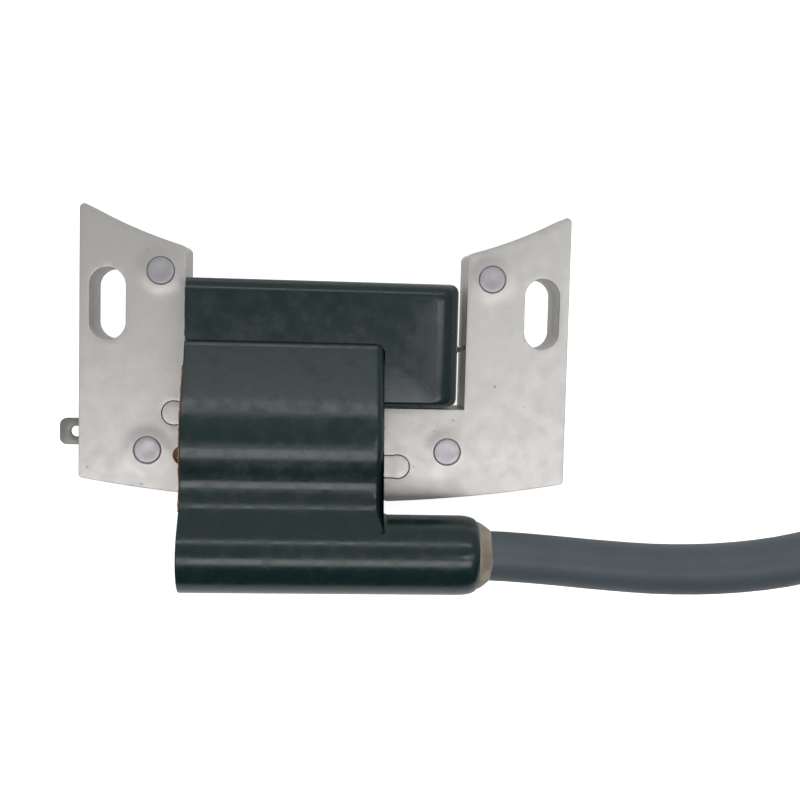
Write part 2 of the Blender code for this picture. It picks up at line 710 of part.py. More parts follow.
def coil_housing():
    length = HOUSING_RIGHT_X - HOUSING_LEFT_X
    body = plate("coil_housing", [housing_outline()], length, HOUSING_PLASTIC, HOUSING_END_ROUND)
    place(body, HOUSING, (HOUSING_LEFT_X, 0, 0), ACROSS_X)
    reach = TOWER_END_X - HOUSING_LEFT_X
    nose = arc(
        (TOWER_RADIUS - TOWER_END_ROUND, reach - TOWER_END_ROUND), TOWER_END_ROUND, 90, 0, 4
    )
    shape = turned("tower_shape", [(0, reach), *nose, (TOWER_RADIUS, 0), (0, 0)], HOUSING_PLASTIC, 32)
    join(body, place(shape, TOWER, (HOUSING_LEFT_X, 0, 0), ACROSS_X))

    depth = CAVITY_RIGHT_X - HOUSING_LEFT_X + HOUSING_WALL
    cavity = plate("coil_cavity", [cavity_outline()], depth, HOUSING_PLASTIC)
    cut(body, place(cavity, HOUSING, (HOUSING_LEFT_X - HOUSING_WALL, 0, 0), ACROSS_X))
    window = rectangle(BAR_HALF, grow=BAR_CLEARANCE)
    opening = plate("bar_opening", [window], 3 * HOUSING_WALL, HOUSING_PLASTIC)
    cut(body, place(opening, WINDINGS, (HOUSING_RIGHT_X - 2 * HOUSING_WALL, 0, 0), ACROSS_X))

    bore = rod("lead_bore", LEAD_RADIUS + FIT_GAP, TOWER_BORE_DEPTH + MM, HOUSING_PLASTIC, 24)
    cut(body, place(bore, TOWER, (BORE_START_X, 0, 0), ACROSS_X))
    pocket = rod("spike_pocket", POCKET_RADIUS, POCKET_LENGTH, HOUSING_PLASTIC)
    cut(body, place(pocket, TOWER, (POCKET_RIGHT_X - POCKET_LENGTH, 0, 0), ACROSS_X))
    hole = rod("spike_hole", SPIKE_RADIUS + FIT_GAP, SPIKE_WALL + 2 * MM, HOUSING_PLASTIC, 12)
    cut(body, place(hole, TOWER, (POCKET_RIGHT_X - MM, 0, 0), ACROSS_X))
    top = TOWER_Z - POCKET_RADIUS * PASSAGE_TOP
    low = COIL_FRONT_Z + BAR_CLEARANCE
    inner_y = HOUSING_BOTTOM_Y + 2 * HOUSING_WALL
    size = (PASSAGE_WIDTH, inner_y - TOWER_Y, top - low)
    passage = box("link_passage", size, HOUSING_PLASTIC)
    cut(body, place(passage, HOUSING, (LINK_X, (inner_y + TOWER_Y) / 2, (top + low) / 2)))
    cut_feed_holes(body, HOUSING, "housing")


def tower_fittings():
    length = SPIKE_TAIL + SPIKE_WALL + SPIKE_TIP
    flange = SPIKE_TAIL - FIT_GAP
    profile = [
        (0, length),
        (SPIKE_RADIUS * SPIKE_POINT, length),
        (SPIKE_RADIUS, length - SPIKE_TIP / 2),
        (SPIKE_RADIUS, flange),
        (SPIKE_FLANGE_RADIUS, flange),
        (SPIKE_FLANGE_RADIUS, flange - SPIKE_FLANGE_THICKNESS),
        (SPIKE_RADIUS, flange - SPIKE_FLANGE_THICKNESS),
        (SPIKE_RADIUS, 0),
        (0, 0),
    ]
    spike = turned("contact_spike", profile, BRASS, 12)
    place(spike, TOWER, (POCKET_RIGHT_X - SPIKE_TAIL, 0, 0), ACROSS_X)

    x = LINK_X
    end_x = POCKET_RIGHT_X - SPIKE_TAIL - FIT_GAP
    low = COIL_FRONT_Z + BAR_CLEARANCE + LINK_LIFT
    route = [
        (x, BAR_MIDDLE_Y - SECONDARY_CORE.x / 2, low),
        (x, HOUSING_BOTTOM_Y + 1.5 * HOUSING_WALL, low),
        (x, TOWER_Y + 1.4 * MM, low + 0.3 * MM),
        (x, TOWER_Y + 0.3 * MM, TOWER_Z - 0.9 * MM),
        (x + 0.5 * MM, TOWER_Y, TOWER_Z - 0.1 * MM),
        (end_x, TOWER_Y, TOWER_Z),
    ]
    tube("high_tension_link", smooth_route(route, LINK_STEP), LINK_RADIUS, COPPER)

    inner = LEAD_RADIUS + FIT_GAP
    outer = LEAD_RADIUS + SEALANT_DEPTH
    profile = [
        (inner, SEALANT_LENGTH),
        (inner + SEALANT_EDGE, SEALANT_LENGTH),
        (outer * SEALANT_SHOULDER[0], SEALANT_LENGTH * SEALANT_SHOULDER[1]),
        (outer, 0),
        (inner, 0),
    ]
    seal = turned("lead_sealant", profile, SEALANT, 24, closed=True)
    place(seal, TOWER, (TOWER_END_X + FIT_GAP, 0, 0), ACROSS_X)


def coil_resin():
    """The filling's skin in the housing's open end, with openings for the bar and both terminals."""
    thickness = HOUSING_WALL - 2 * FIT_GAP
    left = HOUSING_LEFT_X + FIT_GAP
    skin = plate("coil_potting", [cavity_outline(FIT_GAP)], thickness, RESIN)
    place(skin, HOUSING, (left, 0, 0), ACROSS_X)
    window = rectangle(BAR_HALF, grow=BAR_CLEARANCE)
    opening = plate("resin_bar_opening", [window], 3 * thickness, RESIN)
    cut(skin, place(opening, WINDINGS, (left - thickness, 0, 0), ACROSS_X))
    for name, width, thick, y, z in (
        ("kill", TAB_WIDTH, TAB_THICKNESS, TAB_Y, TAB_Z),
        ("ground", STRAP_WIDTH, STRAP_THICKNESS, STRAP_Y, STRAP_Z),
    ):
        size = (3 * thickness, width + 2 * FIT_GAP, thick + 2 * FIT_GAP)
        cut(skin, place(box(f"{name}_opening", size, RESIN), HOUSING, (left, y, z)))


# Terminals behind the left leg


def terminals():
    left = -LEG_OUTER_X - TAB_REACH
    right = TERMINAL_END_X
    half = TAB_WIDTH / 2
    corner = TAB_CORNER_ROUND
    outline = rounded(
        [(right, -half, 0), (right, half, 0), (left, half, corner), (left, -half, corner)]
    )
    loops = [outline, circle((left + TAB_HOLE_IN, 0), TAB_HOLE_RADIUS, 16)]
    tab = plate("kill_terminal", loops, TAB_THICKNESS, TERMINAL_STEEL)
    place(tab, TERMINALS, (0, TAB_Y, TAB_Z - TAB_THICKNESS / 2))

    thickness = TAB_DEPTH - 2 * FIT_GAP
    pad = box("terminal_insulator", (*PAD_SIZE, thickness), INSULATOR, PAD_ROUND)
    pad_x = -LEG_OUTER_X + PAD_SIZE[0] / 2 + PAD_IN
    place(pad, TERMINALS, (pad_x, TAB_Y, -FIT_GAP - thickness / 2))


def ground_strap():
    """A brass strap from the core, under a rivet, to the primary winding."""
    x, y = LEFT_RIVETS["lower"]
    radius = RIVET_HEAD_RADIUS
    low, high = STRAP_Y - STRAP_WIDTH / 2, STRAP_Y + STRAP_WIDTH / 2
    start = math.degrees(math.asin((high - y) / radius))
    end = 360 + math.degrees(math.asin((low - y) / radius))
    outline = [
        *arc((x, y), radius, start, end, 18),
        (TERMINAL_END_X, low),
        (TERMINAL_END_X, high),
    ]
    loops = [outline, circle((x, y), RIVET_RADIUS + FIT_GAP, 20)]
    strap = plate("ground_strap", loops, STRAP_THICKNESS, BRASS)
    place(strap, TERMINALS, (0, 0, STRAP_Z - STRAP_THICKNESS / 2))


# Module


def module_corners(inset=0.0, corner=0.0):
    """The L-shaped outline, set in by a margin, with the two right corners' radius."""
    left, right = MODULE_LEFT_X + inset, MODULE_RIGHT_X - inset
    top, foot = MODULE_TOP_Y - inset, MODULE_FOOT_Y + inset
    step_x, step_y = MODULE_STEP_X + inset, MODULE_STEP_Y + inset
    return rounded(
        [
            (left, step_y, 0),
            (step_x, step_y, 0),
            (step_x, foot, 0),
            (right, foot, corner),
            (right, top, corner),
            (left, top, 0),
        ]
    )


def module_housing():
    outline = module_corners(0, MODULE_CORNER_ROUND)
    shell = plate("module_housing", [outline], MODULE_FRONT_Z, HOUSING_PLASTIC, MODULE_EDGE_ROUND)
    place(shell, MODULE)
    rib = box("locating_rib", RIB_SIZE, HOUSING_PLASTIC)
    reach = RIB_SIZE[0] / 2 * math.cos(RIB_TURN) + FIT_GAP + RIB_BACK
    middle = (LEG_INNER_X - reach, RIB_Y, CORE_THICKNESS - RIB_DROP)
    join(shell, place(rib, MODULE, middle, (0, 0, RIB_TURN)))
    depth = MODULE_FRONT_Z - MODULE_WALL
    cavity = plate("module_cavity", [module_corners(MODULE_WALL)], depth + MM, HOUSING_PLASTIC)
    cut(shell, place(cavity, MODULE, (0, 0, -MM)))
    cut_feed_holes(shell, MODULE, "module")


def transistor(x, base_z):
    y = MODULE_FOOT_Y + CHIP_RISE
    chip = box("power_transistor", CHIP_SIZE, COMPONENT, CHIP_ROUND)
    place(chip, MODULE, (x, y, base_z + CHIP_SIZE[2] / 2))
    tab = box("transistor_tab", CHIP_TAB_SIZE, TINNED)
    tab_y = y + CHIP_SIZE[1] / 2 + FIT_GAP + CHIP_TAB_SIZE[1] / 2
    place(tab, MODULE, (x, tab_y, base_z + CHIP_TAB_SIZE[2] / 2))


def capacitor(x, y, base_z):
    profile = [
        (0, CAN_HEIGHT),
        (CAN_RADIUS - CAN_ROUND, CAN_HEIGHT),
        (CAN_RADIUS, CAN_HEIGHT - CAN_ROUND),
        (CAN_RADIUS, 0),
        (0, 0),
    ]
    place(turned("capacitor", profile, TINNED, 20), MODULE, (x, y, base_z))


def axial_part(name, radius, x, y, base_z, finish):
    """A resistor or diode lying along X, thinner between its end caps."""
    waist = radius * AXIAL_WAIST
    cap = AXIAL_LENGTH / 5
    slope = AXIAL_LENGTH / 20
    profile = [
        (0, AXIAL_LENGTH),
        (radius, AXIAL_LENGTH),
        (radius, AXIAL_LENGTH - cap),
        (waist, AXIAL_LENGTH - cap - slope),
        (waist, cap + slope),
        (radius, cap),
        (radius, 0),
        (0, 0),
    ]
    made = turned(name, profile, finish, 16)
    place(made, MODULE, (x - AXIAL_LENGTH / 2, y, base_z + radius), ACROSS_X)


def module_contents():
    filling = plate("module_potting", [module_corners(MODULE_WALL + FIT_GAP)], RESIN_DEPTH, RESIN)
    place(filling, MODULE)
    outline = module_corners(MODULE_WALL + BOARD_INSET)
    place(plate("circuit_board", [outline], BOARD_THICKNESS, BOARD), MODULE, (0, 0, BOARD_Z))

    base_z = BOARD_FRONT_Z + FIT_GAP
    wide_x = (MODULE_STEP_X + MODULE_RIGHT_X) / 2
    middle_y = (MODULE_TOP_Y + MODULE_STEP_Y) / 2
    transistor(wide_x, base_z)
    capacitor(wide_x, middle_y, base_z)
    axial = (
        ("resistor_a", RESISTOR_RADIUS, RESISTOR),
        ("resistor_b", RESISTOR_RADIUS, RESISTOR),
        ("diode", DIODE_RADIUS, COMPONENT),
    )
    start = MODULE_LEFT_X + MODULE_WALL
    pitch = (wide_x - CAN_RADIUS - start) / len(axial)
    for i, (name, radius, finish) in enumerate(axial):
        axial_part(name, radius, start + (i + 0.5) * pitch, middle_y, base_z, finish)
    for i, x in enumerate(FEED_PLACES):
        wire = rod(f"primary_wire_{i + 1}", FEED_RADIUS, FEED_LENGTH, COPPER, 12)
        place(wire, MODULE, (x, FEED_START_Y, FEED_Z), DOWN_Y)


# Lead and boot


def smooth_route(points, step):
    """Even points along a smooth curve through the given points."""
    places = [Vector(p) for p in points]
    ends = [2 * places[0] - places[1], *places, 2 * places[-1] - places[-2]]
    fine = []
    for a, b, c, d in zip(ends, ends[1:], ends[2:], ends[3:]):
        for i in range(16):
            t = i / 16
            curve = 2 * b + (c - a) * t + (2 * a - 5 * b + 4 * c - d) * t**2
            fine.append((curve + (3 * b - a - 3 * c + d) * t**3) / 2)
    fine.append(places[-1])
    lengths = [(q - p).length for p, q in zip(fine, fine[1:])]
    count = max(2, round(sum(lengths) / step))
    gap = sum(lengths) / count
    even, walked = [fine[0]], 0.0
    for (p, q), length in zip(zip(fine, fine[1:]), lengths):
        while len(even) < count and walked + length >= gap * len(even):
            even.append(p.lerp(q, (gap * len(even) - walked) / length))
        walked += length
    return [*even, fine[-1]]


def lead_route():
    """Out of the tower, over its own stiffness and down to the surface, then round to the boot."""
    start_x = BORE_START_X + SPIKE_TIP + FIT_GAP
    low = LEAD_FLOOR_Z
    rise = [
        (start_x, 0, 0),
        (start_x + 7 * MM, 0, 0),
        (25 * MM, -0.05 * MM, 0.1 * MM),
        (32 * MM, -0.4 * MM, 0.6 * MM),
        (40 * MM, -0.9 * MM, 1.6 * MM),
        (48 * MM, -1.3 * MM, 3.0 * MM),
        (56 * MM, -1.1 * MM, 4.4 * MM),
        (64 * MM, -0.2 * MM, 5.3 * MM),
        (72 * MM, 1.4 * MM, 5.2 * MM),
    ]
    points = [(x, TOWER_Y + y, TOWER_Z + z) for x, y, z in rise]
    points += [
        (81 * MM, -31.6 * MM, 21.9 * MM),
        (89.5 * MM, -29.3 * MM, 16.7 * MM),
        (97.5 * MM, -27.2 * MM, 10.0 * MM),
        (105.5 * MM, -25.3 * MM, 3.4 * MM),
        (114.5 * MM, -23.6 * MM, low + 2.6 * MM),
        (124.5 * MM, -22.5 * MM, low + 0.2 * MM),
    ]
    centre = Vector((134 * MM, LEAD_TURN_RADIUS - 22.2 * MM))
    turn = arc(centre, LEAD_TURN_RADIUS, -90, 90, 8)
    lift = BOOT_Z - low
    points += [(x, y, low + lift * min(1, max(0, i - 3) / 4)) for i, (x, y) in enumerate(turn)]
    end_x, end_y = turn[-1]
    points += [(end_x - reach * MM, end_y, BOOT_Z) for reach in (7, 14, 21)]
    return points


def lead_and_boot():
    route = lead_route()
    tube("spark_plug_lead", smooth_route(route, LEAD_STEP), LEAD_RADIUS, LEAD_RUBBER)
    end_x, end_y, end_z = route[-1]
    boot_empty = empty("boot", (end_x + BOOT_GRIP - FIT_GAP, end_y, end_z), ROOT)
    grip = LEAD_RADIUS + FIT_GAP
    neck = STUD_RADIUS + FIT_GAP
    body = BOOT_RADIUS * BOOT_BODY
    waist = BOOT_RADIUS * BOOT_WAIST
    seat = BOOT_GRIP + BOOT_NECK
    profile = [
        (BOOT_SOCKET_RADIUS, BOOT_LENGTH),
        (BOOT_RADIUS * BOOT_MOUTH, BOOT_LENGTH),
        (BOOT_RADIUS, BOOT_LENGTH - BOOT_LIP),
        (BOOT_RADIUS, BOOT_LENGTH - BOOT_BEAD),
        (body, BOOT_LENGTH - BOOT_BEAD - BOOT_BEAD_FADE),
        (body, seat),
        (waist, BOOT_GRIP - BOOT_STEP),
        (waist, BOOT_ENTRY_LENGTH),
        (BOOT_RADIUS * BOOT_ENTRY, 0),
        (grip, 0),
        (grip, BOOT_GRIP),
        (neck, BOOT_GRIP),
        (neck, seat),
        (BOOT_SOCKET_RADIUS, seat),
    ]
    boot = turned("plug_boot", profile, BOOT_RUBBER, 24, closed=True)
    place(boot, boot_empty, rotation=ALONG_MINUS_X)
    clip = [
        (CLIP_RADIUS - CLIP_WALL, CLIP_LENGTH),
        (CLIP_RADIUS, CLIP_LENGTH),
        (CLIP_RADIUS, 0),
        (STUD_RADIUS, 0),
        (STUD_RADIUS, -BOOT_NECK),
        (0, -BOOT_NECK),
        (0, CLIP_WALL),
        (CLIP_RADIUS - CLIP_WALL, CLIP_WALL),
    ]
    made = turned("plug_clip", clip, TERMINAL_STEEL, 20, closed=True)
    place(made, boot_empty, (-seat - FIT_GAP, 0, 0), ALONG_MINUS_X)


clear_scene()
PARTS = collection("ignition_coil")
CUTTERS = collection("cutters")

CORE_STEEL = material("core_steel", (0.55, 0.55, 0.54), 0.42, 0.9)
RIVET_STEEL = material("rivet_steel", (0.56, 0.55, 0.60), 0.45, 0.9)
HOUSING_PLASTIC = material("housing_plastic", (0.012, 0.018, 0.018), 0.33)
RESIN = material("potting_resin", (0.16, 0.07, 0.025), 0.3)
BOBBIN_PLASTIC = material("bobbin_plastic", (0.75, 0.72, 0.62), 0.5)
COPPER = material("enamelled_copper", (0.55, 0.2, 0.08), 0.35, 0.9)
BRASS = material("brass", (0.7, 0.52, 0.22), 0.35, 1.0)
TERMINAL_STEEL = material("terminal_steel", (0.3, 0.29, 0.26), 0.45, 0.9)
TINNED = material("tinned_metal", (0.7, 0.7, 0.7), 0.35, 1.0)
INSULATOR = material("insulator", (0.2, 0.1, 0.05), 0.6)
BOARD = material("circuit_board", (0.05, 0.2, 0.1), 0.5)
COMPONENT = material("component_black", (0.02, 0.02, 0.02), 0.4)
RESISTOR = material("resistor_body", (0.25, 0.45, 0.6), 0.45)
SEALANT = material("sealant", (0.42, 0.38, 0.3), 0.35)
LEAD_RUBBER = material("lead_rubber", (0.045, 0.055, 0.065), 0.55)
BOOT_RUBBER = material("boot_rubber", (0.02, 0.02, 0.022), 0.6)

ROOT = empty("coil_assembly", (0, 0, 0))
CORE = empty("core", (0, 0, 0), ROOT)
WINDINGS = empty("windings", (0, BAR_MIDDLE_Y, CORE_MIDDLE_Z), ROOT)
HOUSING = empty("housing", (0, 0, 0), ROOT)
TOWER = empty("tower", (0, TOWER_Y, TOWER_Z), ROOT)
MODULE = empty("module", (0, 0, 0), ROOT)
TERMINALS = empty("terminals", (0, 0, 0), ROOT)

left_leg()
right_leg()
centre_bar()
rivets()
windings()
coil_housing()
tower_fittings()
coil_resin()
terminals()
ground_strap()
module_housing()
module_contents()
lead_and_boot()
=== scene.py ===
"""Ignition coil of a small engine: its visible pieces and finishes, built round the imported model.

Everything is in metres in the part's own frame: +Z out of the front, the core's rear face at z = 0,
the slots along X and the flywheel towards +Y.
"""

import json
import math
import random

import bmesh
import bpy
from bpy.props import FloatProperty, FloatVectorProperty, IntProperty, PointerProperty
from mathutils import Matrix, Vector, geometry

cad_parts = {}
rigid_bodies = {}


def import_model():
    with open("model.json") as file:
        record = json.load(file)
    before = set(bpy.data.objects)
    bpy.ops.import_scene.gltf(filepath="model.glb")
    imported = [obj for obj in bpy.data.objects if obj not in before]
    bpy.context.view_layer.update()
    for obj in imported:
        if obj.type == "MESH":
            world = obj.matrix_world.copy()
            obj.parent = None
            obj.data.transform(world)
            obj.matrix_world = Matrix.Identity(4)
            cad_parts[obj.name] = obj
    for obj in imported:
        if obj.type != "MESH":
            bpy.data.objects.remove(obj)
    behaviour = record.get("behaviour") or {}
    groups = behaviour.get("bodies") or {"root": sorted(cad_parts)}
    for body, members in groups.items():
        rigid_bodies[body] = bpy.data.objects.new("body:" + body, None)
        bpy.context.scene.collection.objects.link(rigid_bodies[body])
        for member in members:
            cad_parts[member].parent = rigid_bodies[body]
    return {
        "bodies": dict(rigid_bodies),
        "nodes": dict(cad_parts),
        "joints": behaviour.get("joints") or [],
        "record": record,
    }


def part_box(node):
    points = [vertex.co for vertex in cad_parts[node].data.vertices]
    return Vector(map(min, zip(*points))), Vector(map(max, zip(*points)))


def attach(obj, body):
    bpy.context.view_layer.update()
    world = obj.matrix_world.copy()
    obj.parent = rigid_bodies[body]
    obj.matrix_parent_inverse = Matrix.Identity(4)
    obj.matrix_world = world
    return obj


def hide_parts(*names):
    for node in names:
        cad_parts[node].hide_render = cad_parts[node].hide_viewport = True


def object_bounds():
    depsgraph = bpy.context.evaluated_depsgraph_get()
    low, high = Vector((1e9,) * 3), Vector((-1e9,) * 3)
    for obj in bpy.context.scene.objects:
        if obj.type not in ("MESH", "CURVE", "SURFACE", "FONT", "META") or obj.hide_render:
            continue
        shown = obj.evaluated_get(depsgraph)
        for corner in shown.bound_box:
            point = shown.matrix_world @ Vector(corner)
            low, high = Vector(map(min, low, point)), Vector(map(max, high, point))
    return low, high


bl_info = {
    "name": "Ignition coil",
    "version": (1, 0, 0),
    "blender": (4, 5, 0),
    "location": "View3D > Sidebar > Ignition coil",
    "description": "Builds the visible pieces of a laminated-core ignition coil",
    "category": "Add Mesh",
}

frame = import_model()
CAD_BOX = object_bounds()
MM = 0.001

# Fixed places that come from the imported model
LEFT_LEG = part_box("left_leg_laminations")
RIGHT_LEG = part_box("right_leg_laminations")
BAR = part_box("centre_bar_laminations")
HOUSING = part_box("coil_housing")
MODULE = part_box("module_housing")
FLOOR_Z = CAD_BOX[0].z
TOWER_REACH = 13.7 * MM  # of the high-tension tower beyond the coil housing's right end
TOWER_BELOW = 1.9 * MM  # of the tower's axis below the coil housing's lower wall
BODY_RIGHT_X = HOUSING[1].x - TOWER_REACH
CORE_FRONT_Z = LEFT_LEG[1].z
LEG_OUTER_X = RIGHT_LEG[1].x
LEG_INNER_X = -LEFT_LEG[1].x


# Settings


def size(label, text, default, low=0.0, high=0.2):
    """A length setting in metres."""
    return FloatProperty(
        name=label, description=text, default=default, min=low, max=high, unit="LENGTH", precision=5
    )


def colour(label, text, default):
    return FloatVectorProperty(
        name=label, description=text, default=default, min=0, max=1, size=3, subtype="COLOR"
    )


class CoreSettings(bpy.types.PropertyGroup):
    """Sizes of the laminated core."""

    pole_radius: size("Pole arc", "Radius that the pole faces follow", 77 * MM)
    pole_y: size("Pole arc height", "Where the pole arc crosses the middle", 5.8 * MM)
    back_radius: size("Back arc", "Radius of the core's lower edge", 210 * MM, high=0.5)
    back_y: size("Back arc height", "Where that arc crosses the middle", -29.3 * MM, -0.1)
    foot_top: size("Foot height", "Upper edge of the right leg's foot", -14.8 * MM, -0.1)
    slot_x: size("Slot place", "Middle of each mounting slot from the centre", 32.6 * MM)
    slot_width: size("Slot width", "Width of each mounting slot", 5.3 * MM)
    slot_length: size("Slot length", "Length of each mounting slot", 10.7 * MM)
    sheets: IntProperty(name="Sheets", description="Steel sheets in the stack", default=18, min=1)
    groove: size("Groove", "Depth of the line between two sheets", 0.06 * MM)
    rolled_edge: size("Rolled edge", "Rounding that punching leaves on the front sheet", 0.12 * MM)
    swell_height: size("Swelling", "How far the front sheet rises round a rivet", 0.16 * MM)
    swell_width: size("Swelling width", "Width of that swelling round a rivet", 1.5 * MM)
    tongue_radius: size("Tongue radius", "Round end of a locking tongue", 1.8 * MM)
    tongue_neck: size("Tongue neck", "Width of a tongue where it leaves the bar", 3.4 * MM)
    joint_gap: size("Joint gap", "Line between pressed pieces of the core", 0.05 * MM)


class HousingSettings(bpy.types.PropertyGroup):
    """Sizes of the coil's and the module's housings."""

    wall: size("Wall", "Wall of the coil housing", 1.3 * MM)
    end_round: size("End rounding", "Rounding round the housing's right end", 1.45 * MM)
    tower_radius: size("Tower radius", "Outer radius of the high-tension tower", 5.75 * MM)
    tower_round: size("Tower rounding", "Length of the rounding at the tower's end", 2.6 * MM)
    tower_lip: size("Tower lip", "How far that rounding runs in towards the bore", 0.9 * MM)
    tower_fillet: size("Tower fillet", "Hollow between the housing's end and the tower", 0.85 * MM)
    bore_radius: size("Bore radius", "Hole that the lead goes into", 3.75 * MM)
    bore_depth: size("Bore depth", "Depth of that hole", 13.1 * MM)
    module_wall: size("Module wall", "Wall of the module's housing", 1.2 * MM)
    module_gap: size("Module gap", "Between the module and the right leg", 1.65 * MM)
    module_side_round: size("Module side rounding", "Width of its rounded right edge", 3.5 * MM)
    module_top_round: size("Module top rounding", "Width of its rounded upper edge", 2.0 * MM)
    module_foot_round: size("Module foot rounding", "Width of its rounded lower edge", 0.9 * MM)


class LeadSettings(bpy.types.PropertyGroup):
    """Sizes of the spark plug lead and its boot."""

    radius: size("Lead radius", "Half the lead's diameter", 3.6 * MM)
    turn_radius: size("Turn radius", "Radius of the half turn on the floor", 33 * MM)
    sealant_length: size("Sealant length", "How far the sealant reaches along the lead", 2.0 * MM)
    boot_radius: size("Boot radius", "Outer radius of the plug boot", 7 * MM)


class ColourSettings(bpy.types.PropertyGroup):
    """Main colours."""

    steel: colour("Core sheet", "Satin plated steel sheet", (0.56, 0.535, 0.515))
    rivet: colour("Rivet", "Peened rivet", (0.44, 0.42, 0.445))
    plastic: colour("Housing plastic", "Glass-filled moulding", (0.0055, 0.0215, 0.0235))
    resin: colour("Potting resin", "Amber potting resin", (0.10, 0.028, 0.009))
    sealant: colour("Sealant", "Cured sealant at the tower", (0.36, 0.31, 0.25))
    lead: colour("Lead rubber", "Jacket of the spark plug lead", (0.095, 0.115, 0.13))
    boot: colour("Boot rubber", "Moulded plug boot", (0.02, 0.021, 0.023))
    floor: colour("Floor", "Pale studio floor", (0.88, 0.88, 0.88))


SETTINGS = {
    "coil_core": CoreSettings,
    "coil_housings": HousingSettings,
    "coil_lead": LeadSettings,
    "coil_colours": ColourSettings,
}


def settings(group):
    return getattr(bpy.context.scene, group)


# Mesh helpers


def link(obj):
    bpy.context.scene.collection.objects.link(obj)
    return obj


def object_from(name, bm, finish, sharp=35):
    bmesh.ops.recalc_face_normals(bm, faces=bm.faces)
    mesh = bpy.data.meshes.new(name)
    bm.to_mesh(mesh)
    bm.free()
    mesh.shade_smooth()
    mesh.set_sharp_from_angle(angle=math.radians(sharp))
    mesh.materials.append(finish)
    return link(bpy.data.objects.new(name, mesh))


def settle(obj, slot, *nodes):
    """Makes a piece ride with the coil and stand for its CAD nodes."""
    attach(obj, "root")
    if nodes:
        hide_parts(*nodes)
    return obj


def arc(centre, radius, start, end, steps):
    """Points round a centre from one angle to another, in degrees."""
    angles = [math.radians(start + (end - start) * i / steps) for i in range(steps + 1)]
    return [(centre[0] + radius * math.cos(a), centre[1] + radius * math.sin(a)) for a in angles]


def circle(centre, radius, points=48):
    return arc(centre, radius, 0, 360 - 360 / points, points - 1)


def seen_from_front(vertex):
    return vertex.co.x, vertex.co.y


def seen_from_end(vertex):
    return vertex.co.y, vertex.co.z


def rounded(corners, steps=8):
    """An outline through corners of (x, y, radius), each rounded by its radius."""
    outline = []
    for i, (x, y, radius) in enumerate(corners):
        if radius == 0:
            outline.append((x, y))
            continue
        here = Vector((x, y))
        back = (Vector(corners[i - 1][:2]) - here).normalized()
        ahead = (Vector(corners[(i + 1) % len(corners)][:2]) - here).normalized()
        half = back.angle(ahead) / 2
        centre = here + (back + ahead).normalized() * (radius / math.sin(half))
        start = here + back * (radius / math.tan(half)) - centre
        end = here + ahead * (radius / math.tan(half)) - centre
        turn = math.atan2(start.x * end.y - start.y * end.x, start.dot(end))
        first = math.atan2(start.y, start.x)
        for k in range(steps + 1):
            angle = first + turn * k / steps
            across, up = radius * math.cos(angle), radius * math.sin(angle)
            outline.append((centre.x + across, centre.y + up))
    return outline


def area_of(loop):
    """Area inside a closed loop, positive when it runs anticlockwise."""
    return sum(a[0] * b[1] - b[0] * a[1] for a, b in zip(loop, loop[1:] + loop[:1])) / 2


def turned_to(loop, sign):
    """The loop, running anticlockwise for sign 1 and clockwise for sign -1."""
    return loop if area_of(loop) * sign > 0 else loop[::-1]


def outward(loop):
    """At each point of a closed loop, the direction to the right of its travel."""
    found = []
    count = len(loop)
    for i in range(count):
        a, b, c = Vector(loop[i - 1]), Vector(loop[i]), Vector(loop[(i + 1) % count])
        before = (b - a).normalized()
        after = (c - b).normalized()
        mean = (before + after).normalized()
        stretch = 1 / max(0.5, mean.dot(before))
        found.append(Vector((mean.y, -mean.x)) * stretch)
    return found


def inside(point, loop):
    """Whether a point lies in a closed loop, by counting the edges to its right."""
    x, y = point
    hit = False
    for (ax, ay), (bx, by) in zip(loop, loop[1:] + loop[:1]):
        if (ay > y) != (by > y) and x < (bx - ax) * (y - ay) / (by - ay) + ax:
            hit = not hit
    return hit


def cap(bm, loops, flat, interior=(), lift=None):
    """Fills a flat region: its first loop of vertices is the outside and the others are holes.

    flat gives a vertex's place in the plane, and lift makes a vertex for each extra inner point.
    """
    rims = [[flat(v) for v in loop] for loop in loops]
    verts = [v for loop in loops for v in loop]
    edges = []
    start = 0
    for loop in loops:
        edges += [(start + i, start + (i + 1) % len(loop)) for i in range(len(loop))]
        start += len(loop)
    verts += [lift(p) for p in interior]
    places = [Vector(p) for rim in rims for p in rim] + [Vector(p) for p in interior]
    made, _, faces, sources, _, _ = geometry.delaunay_2d_cdt(places, edges, [], 0, 1e-9)
    for face in faces:
        middle = sum((made[i] for i in face), Vector((0, 0))) / len(face)
        if not inside(middle, rims[0]) or any(inside(middle, rim) for rim in rims[1:]):
            continue
        bm.faces.new([verts[sources[i][0]] for i in face])


def ring(bm, points):
    return [bm.verts.new(p) for p in points]


def bridge(bm, first, second):
    """Faces between two rings of the same count."""
    count = len(first)
    for i in range(count):
        j = (i + 1) % count
        bm.faces.new((first[i], first[j], second[j], second[i]))


def skin(bm, rings):
    """Faces along a row of rings."""
    for first, second in zip(rings, rings[1:]):
        bridge(bm, first, second)


def turned(name, profile, finish, sides=64, origin=(0, 0, 0), axis="z", sharp=35):
    """A profile of (radius, distance) turned round an axis. Radius 0 closes an end."""
    bm = bmesh.new()
    rows = []
    for radius, along in profile:
        count = 1 if radius == 0 else sides
        row = []
        for i in range(count):
            angle = 2 * math.pi * i / sides
            across = (radius * math.cos(angle), radius * math.sin(angle))
            place = (*across, along) if axis == "z" else (along, *across)
            row.append(bm.verts.new(Vector(place) + Vector(origin)))
        rows.append(row)
    for first, second in zip(rows, rows[1:]):
        for i in range(sides):
            j = (i + 1) % sides
            corners = [first[i % len(first)], first[j % len(first)]]
            corners += [second[j % len(second)], second[i % len(second)]]
            bm.faces.new(list(dict.fromkeys(corners)))
    return object_from(name, bm, finish, sharp)


